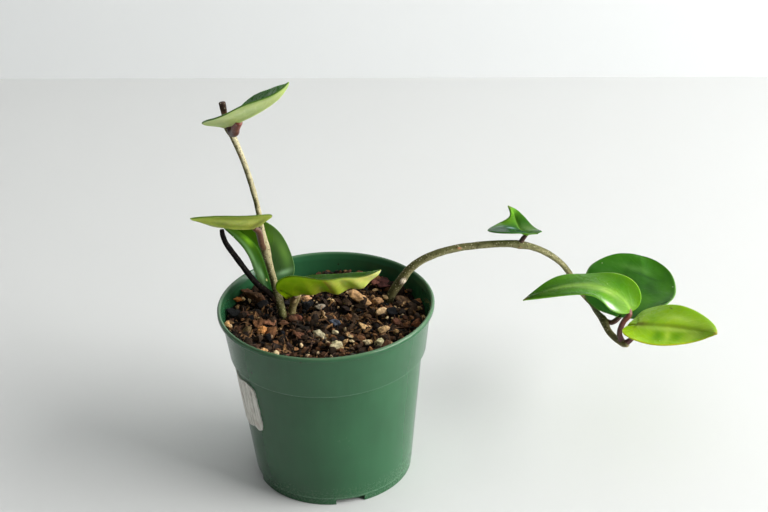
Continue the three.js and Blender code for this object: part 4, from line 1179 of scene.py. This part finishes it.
def tube(path, radius, sides, relief):
    """Rings round a path, each square to it, carried along so that they don't twist, with
    the rings of a dome and a pole at each end, all moved out by the relief. Returns points,
    faces, each point's place (angle as x and y on a ring of the tube's own radius, and
    length along it) and the way out of the tube at each point."""
    along = unit(np.gradient(path, axis=0))
    side = np.cross(along[0], (0.0, 1.0, 0.0))
    if np.linalg.norm(side) < 0.1:
        side = np.cross(along[0], (1.0, 0.0, 0.0))
    frames = []
    for direction in along:
        side = side - direction * (side @ direction)
        side = side / np.linalg.norm(side)
        frames.append(side)
    side = np.array(frames)
    other = np.cross(along, side)
    run = np.concatenate([[0], np.cumsum(np.linalg.norm(np.diff(path, axis=0), axis=1))])
    dome, extra = TUBE_END, len(TUBE_END)
    start, end = path[0], path[-1]
    poles = [start - along[0] * TUBE_POLE * radius[0], end + along[-1] * TUBE_POLE * radius[-1]]
    before = start - along[0] * dome[::-1, :1] * radius[0]
    after = end + along[-1] * dome[:, :1] * radius[-1]
    path = np.concatenate([before, path, after])
    radius = np.concatenate([radius[0] * dome[::-1, 1], radius, radius[-1] * dome[:, 1]])
    side, other, run = (np.concatenate([part[:1].repeat(extra, 0), part,
                                        part[-1:].repeat(extra, 0)])
                        for part in (side, other, run))
    turn = turns_round(sides)
    out = side[:, None] * np.cos(turn)[:, None] + other[:, None] * np.sin(turn)[:, None]
    points = path[:, None] + radius[:, None, None] * out
    points = points + out * relief(points)[..., None]
    rows = len(path)
    place = np.stack([radius[:, None] * np.cos(turn), radius[:, None] * np.sin(turn),
                      run[:, None] + 0 * turn], -1).reshape(-1, 3)
    place = np.concatenate([place, [(0, 0, run[0]), (0, 0, run[-1])]])
    flat = np.concatenate([points.reshape(-1, 3), poles])
    out = np.concatenate([out.reshape(-1, 3), [-along[0], along[-1]]])
    return flat, capped_faces(rows, sides), place, out


def bumps(spots):
    """Relief of small domes on two faint noises: the sum of height * exp(-(distance /
    reach)^2) over the spots, each x, y, z, reach and height."""

    def relief(points):
        total = 0.05 * value_noise(points, 1.1, 9) + 0.1 * value_noise(points, 4.0, 4)
        for x, y, z, reach, height in spots:
            gap = np.linalg.norm(points - (x, y, z), axis=-1)
            total = total + height * np.exp(-((gap / reach) ** 2))
        return total

    return relief


def spot_tint(points, tint, spots):
    """Paint over round spots: each x, y, z, reach, colour and strength."""
    for x, y, z, reach, colour, strength in spots:
        gap = np.linalg.norm(points - (x, y, z), axis=-1)
        tint = blend(tint, srgb(*colour), strength * (1 - smooth(gap, reach * 0.7, reach * 1.2)))
    return tint


# Stems: piece, node, slot, path, bumps, paint by height on the painted lit side and on the
# painted shaded side, spots of paint, and the way that the painted lit side faces.
STEMS = [
    ("main_stem", "stem_main", "stem_bark", STEM_MAIN,
     [(-28.2, 4.6, 120.8, 1.3, 0.9), (-24.1, 4.6, 121.6, 1.2, 1.5),
      (-23.9, 4.6, 119.2, 1.8, 0.9), (-23.4, 4.6, 116, 2.0, 0.6),
      (-35.7, 4.9, 168, 0.6, 0.5), (-31.4, 4.9, 150.5, 0.5, 0.5),
      (-34.2, 4.9, 162.8, 0.4, 0.3), (-24, 4.6, 101, 0.6, 0.4), (-30, 4.9, 145, 0.4, 0.3)],
     [(40, (104, 104, 60)), (86, (112, 114, 68)), (94, (150, 144, 104)),
      (118, (166, 158, 122)), (187, (182, 176, 146)), (189, (120, 84, 62)),
      (191, (74, 50, 42)), (195, (84, 60, 52))],
     [(40, (60, 58, 30)), (86, (68, 70, 34)), (118, (90, 88, 48)), (150, (100, 96, 60)),
      (187, (112, 106, 72)), (190, (80, 54, 40)), (195, (52, 36, 32))],
     [(-25.4, 4, 122.6, 1.0, (150, 92, 58), 0.8), (-27.6, 4, 119.2, 1.0, (84, 68, 44), 0.7),
      (-26.6, 3.6, 125.4, 0.9, (74, 60, 38), 0.6), (-35.4, 4.7, 168, 0.6, (128, 84, 56), 0.8),
      (-31.2, 4.7, 150.5, 0.5, (120, 84, 56), 0.7), (-24, 4.4, 112, 0.8, (120, 92, 58), 0.6),
      (-27.6, 4.2, 130, 0.7, (140, 104, 70), 0.5)],
     (0.75, -0.45, 0.45)),
    ("short_stem", "stem_short", "stem_bark", STEM_SHORT,
     [(-14.6, 6.6, 88.6, 0.9, 0.3)],
     [(40, (110, 98, 60)), (82, (136, 126, 82)), (91, (150, 136, 92))],
     [(40, (66, 60, 34)), (82, (82, 74, 42)), (91, (92, 84, 48))],
     [(-14.6, 6.4, 89.6, 1.2, (96, 70, 48), 0.5)], (0.4, -0.8, 0.4)),
    ("dark_shoot", "shoot_dark", "shoot_dry", SHOOT_DARK,
     [(-31.6, 4.2, 99.8, 0.9, 0.25), (-39.1, 4, 112, 0.7, 0.2)],
     [(88, (34, 26, 22)), (105, (15, 12, 12)), (130, (22, 18, 17))],
     [(88, (14, 10, 9)), (130, (9, 8, 8))],
     [(-24, 4.6, 91, 2.2, (66, 46, 38), 0.6)], (0.3, -0.5, 0.8)),
    ("long_vine", "vine", "vine_bark", VINE,
     [(38.2, 17, 90.3, 1.9, 1.1), (66, 18.2, 106.0, 0.7, 0.45),
      (95.2, 17, 106, 1.4, 0.35), (136.4, 12.2, 63.4, 1.3, 0.4)],
     [(40, (132, 120, 80)), (60, (176, 162, 124)), (72, (122, 119, 84)),
      (84, (124, 121, 80)), (96, (134, 131, 92)), (108, (138, 136, 96))],
     [(40, (104, 98, 60)), (60, (112, 106, 70)), (66, (80, 79, 46)), (84, (76, 77, 42)),
      (96, (92, 92, 54)), (108, (97, 98, 58))],
     [(38.4, 15.4, 90.2, 3.1, (86, 68, 44), 0.9), (38.4, 15.2, 90.2, 2.6, (255, 242, 220), 1.0),
      (38.4, 14.6, 90.2, 1.0, (170, 128, 92), 0.9),
      (66, 18.2, 106.2, 0.8, (196, 146, 106), 0.9), (95.2, 16.8, 105.4, 1.3, (150, 132, 94), 0.7),
      (136.4, 12, 63.4, 1.3, (140, 112, 78), 0.5)],
     (0.5, -0.45, -0.75)),
]


def ramp(heights, shades):
    """Colours at the given heights, straight between the rows of height and colour."""
    stops = [z for z, _ in shades]
    columns = np.array([srgb(*colour) for _, colour in shades]).T
    return np.stack([np.interp(heights, stops, column) for column in columns], -1)


def build_stems(settings):
    """The four stems, each a tube with its paint by height, and painted light and shade by side.
    """
    for name, node, slot, table, spots, lit_side_paint, shaded, patches, faces_to in STEMS:
        path, radius = path_through(table, 14)
        points, faces, place, out = tube(path, radius, settings.sides, bumps(spots))
        # Painted light and shade: points that face faces_to take the lit ramp, the others the
        # shaded ramp, blended with noise.
        side = out @ unit(np.array(faces_to)) + 0.5 * value_noise(points, 2.5, 8)
        tint = blend(ramp(points[:, 2], shaded), ramp(points[:, 2], lit_side_paint),
                     smooth(side, -0.15, 0.8))
        tint = spot_tint(points, tint, patches)
        pale, dark, gloss = (0.05, 0.3, 0.06) if node == "shoot_dark" else (0.6, 0.8, 0.25)
        look = bark(node + "_bark", 0.72, srgb(206, 196, 160), pale, dark, 0.14, gloss)
        make_piece(make_mesh(name, points, *faces), [node], look, tint, place)


def build_stalks(settings):
    """Each leaf's stalk: a tube from its stem through the table's points to the underside of
    the midrib, in its own two colours from the stem to the blade."""
    look = bark("stalk_skin", 0.45, srgb(160, 118, 96), 0.2, 0.45, 0.1, 0.5)
    for leaf in LEAVES:
        centre, along, up, _ = rib_frame(leaf, np.array([leaf["attach"]]))
        arrive = centre[0] - up[0] * BLADE_THICKNESS / 2 + along[0] * 0.5
        girth = leaf["stalk_radius"]
        table = [(*point, girth) for point in leaf["stalk"]]
        table[0] = (*leaf["stalk"][0], girth * 1.1)
        table.append((*arrive, girth * 0.85))
        path, radius = path_through(table, 10)
        points, faces, place, _ = tube(path, radius, settings.sides, bumps([]))
        rise = place[:, 2] / place[:, 2].max()
        start, end = (srgb(*colour) for colour in leaf["stalk_colours"])
        tint = blend(start, end, smooth(rise, 0.15, 0.9))
        name = leaf["name"].replace("leaf", "stalk")
        make_piece(make_mesh(name + "_tube", points, *faces), [name], look,
                   tint, place)


# ------------------------------------------------------------------ leaves


def rib_frame(leaf, s):
    """The midrib at shares s of its cubic curve: its places, its directions, and the ways up
    and left. Up is the leaf's face made square to the direction, then turned about it by the
    twist; left is up x along."""
    a, b, c, d = np.array(leaf["rib"], float)
    s = np.asarray(s, float)[:, None]
    r = 1 - s
    centre = a * r**3 + 3 * b * s * r**2 + 3 * c * s**2 * r + d * s**3
    along = unit((b - a) * r**2 + 2 * (c - b) * s * r + (d - c) * s**2)
    face = np.array(leaf["face"], float)
    up = unit(face - along * (along @ face)[:, None])
    start, end = np.radians(leaf["twist"])
    turn = start + (end - start) * s
    up = up * np.cos(turn) + np.cross(along, up) * np.sin(turn)
    return centre, along, up, np.cross(up, along)


def blade_places(leaf, s, v):
    """Middle surface, facing and half width of a blade at shares s along it and v from -1 on
    the right margin to 1 on the left. With fullness = s^round * (1 - s)^taper over its
    largest value, width = half width * fullness, and lift = fold + curl * |v| / 2, a place
    is centre + left * width * v * cos(lift) + up * (width * |v| * sin(lift) + wave *
    fullness * v^2 + ripple * 4 s (1 - s) (1 - v^2)) - along * lobe * v^2 * (1 - s)^3. Wave
    and ripple are sines along the blade; at base and tip the width stays above a least one."""
    centre, along, up, left = (part[:, None] for part in rib_frame(leaf, s))
    s, v = np.asarray(s)[:, None], np.asarray(v)[None, :]
    right = v < 0

    def pick(pair):
        return np.where(right, pair[1], pair[0])

    def outline(t):
        return t ** leaf["round"] * (1 - t) ** leaf["taper"]

    fullness = outline(s) / outline(leaf["round"] / (leaf["round"] + leaf["taper"]))
    width = np.hypot(pick(leaf["half"]) * fullness, END_HALF_WIDTH)
    reach = np.abs(v)
    lift = np.radians(pick(leaf["fold"]) + pick(leaf["curl"]) * reach / 2)
    slope = np.radians(pick(leaf["fold"]) + pick(leaf["curl"]) * reach) * np.sign(v)
    (left_wave, left_phase), (right_wave, right_phase) = leaf["wave"]
    phase = np.radians(pick((left_phase, right_phase)))
    wave = pick((left_wave, right_wave)) * np.sin(TAU * MARGIN_WAVES * s + phase)
    rise = width * reach * np.sin(lift) + wave * fullness * v**2
    height, waves, start = leaf.get("ripple", (0.0, 0.0, 0.0))
    ripple = height * np.sin(TAU * waves * s + math.radians(start))
    rise = rise + ripple * 4 * s * (1 - s) * (1 - v * v)
    spot = centre + left * (np.sign(v) * width * reach * np.cos(lift))[..., None]
    spot = spot + up * rise[..., None] - along * (leaf["lobe"] * v**2 * (1 - s) ** 3)[..., None]
    facing = up * np.cos(slope)[..., None] - left * np.sin(slope)[..., None]
    return spot, facing, width


def blade_shape(leaf, settings):
    """A closed blade, and how near each point is to the midrib. Each row runs over the upper
    side from right to left and back under it. Half the thickness falls from the midrib to
    the margin with the square of the way there, and rounds off as a quarter circle; the
    midrib is a groove above and a keel below, and the whole skin swells a little."""
    rows, half = settings.rows, settings.columns
    s = 0.5 - 0.5 * np.cos(math.pi * np.linspace(0, 1, rows))
    u = np.linspace(-1, 1, half + 1)
    v = np.sin(u * math.pi / 2) * 0.35 + u * 0.65
    spot, facing, width = blade_places(leaf, s, v)
    reach = np.abs(v)[None, :]
    thick = settings.thickness / MM / 2
    body = thick + (MARGIN_THICKNESS / 2 - thick) * reach**2
    rim = np.clip((reach - MARGIN_START) / (1 - MARGIN_START), 0, 1)
    body = body * np.sqrt(1 - rim**2)
    tip = 0.45 + 0.55 * smooth(1 - s, 0, 0.06)[:, None] * smooth(s, 0, 0.03)[:, None]
    body = body * tip
    near = np.exp(-((v[None, :] * width / RIB_REACH) ** 2))
    near = near * smooth(1 - s, 0.05, 0.5)[:, None]
    swell = 0.22 * value_noise(spot, 8, 21) + 0.07 * value_noise(spot, 3, 22)
    swell = swell * (1 - rim)
    above = spot + facing * (body + swell - GROOVE_DEPTH * near)[..., None]
    below = spot - facing * (body - swell + KEEL_DEPTH * near)[..., None]
    ring = np.concatenate([above, below[:, -2:0:-1]], 1)
    columns = ring.shape[1]
    j = np.arange(1, half - 1)
    ladder = np.stack([j, j + 1, columns - j - 1, columns - j], -1)
    tips = np.array([(0, 1, columns - 1), (half - 1, half, half + 1)])
    last = (rows - 1) * columns
    walls = ring_faces(rows, columns)
    quads = np.concatenate([walls[:, ::-1], ladder, ladder[:, ::-1] + last])
    ends = np.concatenate([tips, tips[:, ::-1] + last])
    across = np.concatenate([v, v[-2:0:-1]])
    upper = np.concatenate([np.ones(half + 1), np.zeros(half - 1)])
    upper[[0, half]] = 0.5
    place = np.stack(np.broadcast_arrays(across[None], s[:, None], upper[None]), -1)
    rib = np.concatenate([near, near[:, -2:0:-1]], 1)
    return ring.reshape(-1, 3), (quads, ends), place.reshape(-1, 3), rib.ravel()


def leaf_paint(leaf, place, rib):
    """Colours from base over middle to tip on each side, then the leaf's own patches, some of
    them painted highlights, its midrib and its margin. A patch is v, s, reach across, reach
    along, side, colour and strength, with 1 for the upper side, 0 for the lower, and 0.5 for
    both."""
    across, along, upper = place.T
    stops = (0.0, 0.45, 1.0)
    sides = [ramp(along, list(zip(stops, leaf[side]))) for side in ("under", "upper")]
    tint = blend(*sides, upper)
    for v, s, wide, long, side, colour, strength in leaf["patches"]:
        gap = ((across - v) / wide) ** 2 + ((along - s) / long) ** 2
        seen = 1 if side == 0.5 else 1 - np.abs(upper - side)
        tint = blend(tint, srgb(*colour), strength * seen * np.exp(-gap))
    colour, strength = leaf["midrib"]
    tint = blend(tint, srgb(*colour), strength * rib)
    colour, strength, low = leaf["rim"]
    return blend(tint, srgb(*colour), strength * smooth(np.abs(across), low, 0.99))


def build_leaves(settings):
    """The eight blades, each with its own paint under one of two waxy skins. The small
    young leaf counts as a bright one but has the dark skin."""
    skins = {
        "leaf_blade": leaf_skin("leaf_skin", settings.gloss, settings.glow, SKIN_SHINE),
        "leaf_dark": leaf_skin("leaf_skin_dark", 0.8 * settings.gloss, DARK_GLOW, DARK_SHINE),
    }
    for leaf in LEAVES:
        points, faces, place, rib = blade_shape(leaf, settings)
        name = leaf["name"]
        slot = "leaf_dark" if name in ("leaf_3_back", "leaf_7_end_back") else "leaf_blade"
        skin = skins["leaf_dark" if name == "leaf_5_young" else slot]
        mesh = make_mesh(name + "_blade", points, *faces)
        tint = leaf_paint(leaf, place, rib)
        make_piece(mesh, [name], skin, tint, place)


# ------------------------------------------------------------------ stage


# Camera and lights in metres, the backdrop in millimetres as the other meshes.
CAMERA_PLACE = (0.0, -0.7483, 0.5158)
CAMERA_YAW, CAMERA_PITCH, CAMERA_ROLL = (math.radians(d) for d in (2.196, 28.211, -2.235))
CAMERA_LENS = 84.375
SENSOR_WIDTH = 36.0
BACKDROP_REACH = 3000.0
WALL_HEIGHT = 2500.0
WALL_DISTANCE = 499.0
WALL_SLOPE = -0.1333         # how much nearer the wall comes per millimetre to the right
LIGHTS = {                   # place, target, size and colour
    "window": ((1.8, -0.6, 0.85), (0.0, 0.0, 0.1), 1.6, (1.0, 0.99, 0.98)),
    "sky": ((0.0, -0.25, 1.9), (0.0, 0.0, 0.0), 2.4, (0.98, 0.99, 1.0)),
}


def build_camera():
    """A camera that looks down by the pitch, turned right by the yaw and rolled about its
    view."""
    yaw, pitch, roll = CAMERA_YAW, CAMERA_PITCH, CAMERA_ROLL
    forward = Vector((math.sin(yaw) * math.cos(pitch), math.cos(yaw) * math.cos(pitch),
                      -math.sin(pitch)))
    right = Vector((math.cos(yaw), -math.sin(yaw), 0))
    up = right.cross(forward)
    turned_right = right * math.cos(roll) + up * math.sin(roll)
    turned_up = up * math.cos(roll) - right * math.sin(roll)
    data = bpy.data.cameras.new("view")
    data.lens = CAMERA_LENS
    data.sensor_width = SENSOR_WIDTH
    data.clip_start = 0.01
    camera = bpy.data.objects.new("view", data)
    axes = Matrix((turned_right, turned_up, -forward)).transposed()
    camera.matrix_world = Matrix.Translation(CAMERA_PLACE) @ axes.to_4x4()
    bpy.context.scene.collection.objects.link(camera)
    bpy.context.scene.camera = camera


def build_backdrop(floor_colour, wall_colour):
    """Two flat sheets: the floor, and the wall that stands behind it, a little askew. The
    wall is clear from its back, so that the plant can also be seen from behind."""
    wide, high = BACKDROP_REACH, WALL_HEIGHT
    left, right = (WALL_DISTANCE - WALL_SLOPE * wide, WALL_DISTANCE + WALL_SLOPE * wide)
    sheets = [
        ("floor", [(-wide, -wide, 0), (wide, -wide, 0), (wide, right, 0), (-wide, left, 0)],
         floor_colour),
        ("back_wall", [(-wide, left, 0), (wide, right, 0), (wide, right, high),
                       (-wide, left, high)], wall_colour),
    ]
    for name, corners, colour in sheets:
        mesh = make_mesh(name, np.array(corners, float), np.array([(0, 1, 2, 3)]))
        sheet = bpy.data.objects.new(name, mesh)
        bpy.context.scene.collection.objects.link(sheet)
        look = Finish(name, Roughness=0.7, Specular_IOR_Level=0.2)
        mesh.materials.append(look.finish(colour))
        if name == "back_wall":
            clear_from_behind(look)


def clear_from_behind(look):
    """Shows a material on the front of its sheet alone."""
    clear, sides, both = (look.nodes.new("ShaderNode" + kind) for kind in
                          ("BsdfTransparent", "NewGeometry", "MixShader"))
    look.links.new(sides.outputs["Backfacing"], both.inputs[0])
    look.links.new(look.surface.outputs[0], both.inputs[1])
    look.links.new(clear.outputs[0], both.inputs[2])
    look.links.new(both.outputs[0], look.nodes["Material Output"].inputs["Surface"])


def area_light(name, power):
    """A square light that faces its target."""
    place, target, size, colour = LIGHTS[name]
    data = bpy.data.lights.new(name, "AREA")
    data.shape = "SQUARE"
    data.size = size
    data.energy = power
    data.color = colour
    light = bpy.data.objects.new(name, data)
    light.location = place
    aim = Vector(target) - Vector(place)
    light.rotation_euler = aim.to_track_quat("-Z", "Y").to_euler()
    bpy.context.scene.collection.objects.link(light)


def build_stage(settings):
    """Camera, backdrop, a large soft window light from the right and a little in front, a
    soft sky light from above, and a dim surround."""
    build_camera()
    build_backdrop(np.array(settings.floor_colour), np.array(settings.wall_colour))
    area_light("window", settings.window)
    area_light("sky", settings.sky)
    world = bpy.data.worlds.new("surround")
    world.use_nodes = True
    ground = world.node_tree.nodes["Background"]
    ground.inputs["Color"].default_value = (0.98, 0.99, 1.0, 1.0)
    ground.inputs["Strength"].default_value = settings.surround
    bpy.context.scene.world = world
    bpy.context.scene.view_settings.view_transform = "Standard"


# ------------------------------------------------------------------ settings


def length_setting(name, description, default):
    return FloatProperty(name=name, description=description, default=default, min=0,
                         unit="LENGTH", subtype="DISTANCE")


def share_setting(name, description, default):
    return FloatProperty(name=name, description=description, default=default, min=0, max=1,
                         subtype="FACTOR")


def count_setting(name, description, default):
    return IntProperty(name=name, description=description, default=default, min=3)


def colour_setting(name, description, default):
    return FloatVectorProperty(name=name, description=description, default=default, size=3,
                               min=0, max=1, subtype="COLOR")


def power_setting(name, description, default):
    return FloatProperty(name=name, description=description, default=default, min=0,
                         unit="POWER")


class HoyaPotSettings(bpy.types.PropertyGroup):
    sides: count_setting("Sides", "Flat sides of the turned pot", 288)
    colour: colour_setting("Colour", "Colour of the plastic", (0.021, 0.095, 0.038))
    roughness: share_setting("Roughness", "Roughness of the plastic", 0.2)


class HoyaSoilSettings(bpy.types.PropertyGroup):
    crumb: FloatProperty(name="Crumbs", description="Height of the bed's crumbs, in mm",
                         default=0.6, min=0)
    grains: count_setting("Grains", "Small dark grains", 2300)
    shreds: count_setting("Shreds", "Thin bark shreds", 850)
    chunks: count_setting("Chunks", "Bark chunks", 460)
    grit: count_setting("Grit", "Pumice grains", 230)
    charcoal: count_setting("Charcoal", "Bits of charcoal", 110)
    fibres: count_setting("Fibres", "Dry rootlets", 170)


class HoyaStemSettings(bpy.types.PropertyGroup):
    sides: count_setting("Sides", "Flat sides of a stem or stalk", 24)


class HoyaLeafSettings(bpy.types.PropertyGroup):
    rows: count_setting("Rows", "Rows from base to tip", 110)
    columns: count_setting("Columns", "Columns across one face", 56)
    thickness: length_setting("Thickness", "Blade thickness at the midrib",
                              BLADE_THICKNESS * MM)
    gloss: share_setting("Roughness", "Roughness of the upper side", 0.27)
    glow: share_setting("Glow", "Share of light that passes through the flesh", 0.5)


class HoyaStageSettings(bpy.types.PropertyGroup):
    floor_colour: colour_setting("Floor", "Colour of the floor", (0.67, 0.68, 0.67))
    wall_colour: colour_setting("Wall", "Colour of the wall", (0.84, 0.86, 0.86))
    window: power_setting("Window", "Power of the window light", 82.0)
    sky: power_setting("Sky", "Power of the light above", 11.0)
    surround: FloatProperty(name="Surround", description="Strength of the surround",
                            default=0.08, min=0)


# ------------------------------------------------------------------ operators and panel


class HOYA_OT_pot(bpy.types.Operator):
    """Build the nursery pot"""

    bl_idname = "hoya.pot"
    bl_label = "Pot"

    def execute(self, context):
        build_pot(context.scene.hoya_pot)
        return {"FINISHED"}


class HOYA_OT_label(bpy.types.Operator):
    """Build the torn paper label on the pot"""

    bl_idname = "hoya.label"
    bl_label = "Label"

    def execute(self, context):
        build_label()
        return {"FINISHED"}


class HOYA_OT_soil(bpy.types.Operator):
    """Build the potting mix: its bed, loose chips, larger stones and fibres"""

    bl_idname = "hoya.soil"
    bl_label = "Potting mix"

    def execute(self, context):
        settings = context.scene.hoya_soil
        build_soil_bed(settings)
        build_soil_chips(settings)
        build_large_chips()
        build_fibres(settings)
        return {"FINISHED"}


class HOYA_OT_stems(bpy.types.Operator):
    """Build the main stem, the short stem, the dried shoot and the vine"""

    bl_idname = "hoya.stems"
    bl_label = "Stems"

    def execute(self, context):
        build_stems(context.scene.hoya_stems)
        return {"FINISHED"}


class HOYA_OT_stalks(bpy.types.Operator):
    """Build the stalk of each leaf"""

    bl_idname = "hoya.stalks"
    bl_label = "Leaf stalks"

    def execute(self, context):
        build_stalks(context.scene.hoya_stems)
        return {"FINISHED"}


class HOYA_OT_leaves(bpy.types.Operator):
    """Build the leaf blades"""

    bl_idname = "hoya.leaves"
    bl_label = "Leaves"

    def execute(self, context):
        build_leaves(context.scene.hoya_leaves)
        return {"FINISHED"}


class HOYA_OT_stage(bpy.types.Operator):
    """Build the backdrop, lights and camera"""

    bl_idname = "hoya.stage"
    bl_label = "Stage"

    def execute(self, context):
        build_stage(context.scene.hoya_stage)
        return {"FINISHED"}


class HOYA_PT_panel(bpy.types.Panel):
    """Lists the settings and the builders of the plant's pieces"""

    bl_idname = "HOYA_PT_panel"
    bl_label = "Potted hoya plant"
    bl_space_type = "VIEW_3D"
    bl_region_type = "UI"
    bl_category = "Hoya"

    def draw(self, context):
        for key in SETTINGS:
            group = getattr(context.scene, key)
            box = self.layout.box()
            for name in group.__annotations__:
                box.prop(group, name)
        for operator in OPERATORS:
            self.layout.operator(operator.bl_idname)


SETTINGS = {
    "hoya_pot": HoyaPotSettings,
    "hoya_soil": HoyaSoilSettings,
    "hoya_stems": HoyaStemSettings,
    "hoya_leaves": HoyaLeafSettings,
    "hoya_stage": HoyaStageSettings,
}
OPERATORS = (
    HOYA_OT_stage,
    HOYA_OT_pot,
    HOYA_OT_label,
    HOYA_OT_soil,
    HOYA_OT_stems,
    HOYA_OT_stalks,
    HOYA_OT_leaves,
)
CLASSES = (*SETTINGS.values(), *OPERATORS, HOYA_PT_panel)


def register():
    for cls in CLASSES:
        bpy.utils.register_class(cls)
    for key, group in SETTINGS.items():
        setattr(bpy.types.Scene, key, PointerProperty(type=group))


def unregister():
    for key in SETTINGS:
        delattr(bpy.types.Scene, key)
    for cls in reversed(CLASSES):
        bpy.utils.unregister_class(cls)


def main():
    register()
    bpy.ops.hoya.stage()
    bpy.ops.hoya.pot()
    bpy.ops.hoya.label()
    bpy.ops.hoya.soil()
    bpy.ops.hoya.stems()
    bpy.ops.hoya.stalks()
    bpy.ops.hoya.leaves()


if __name__ == "__main__":
    main()
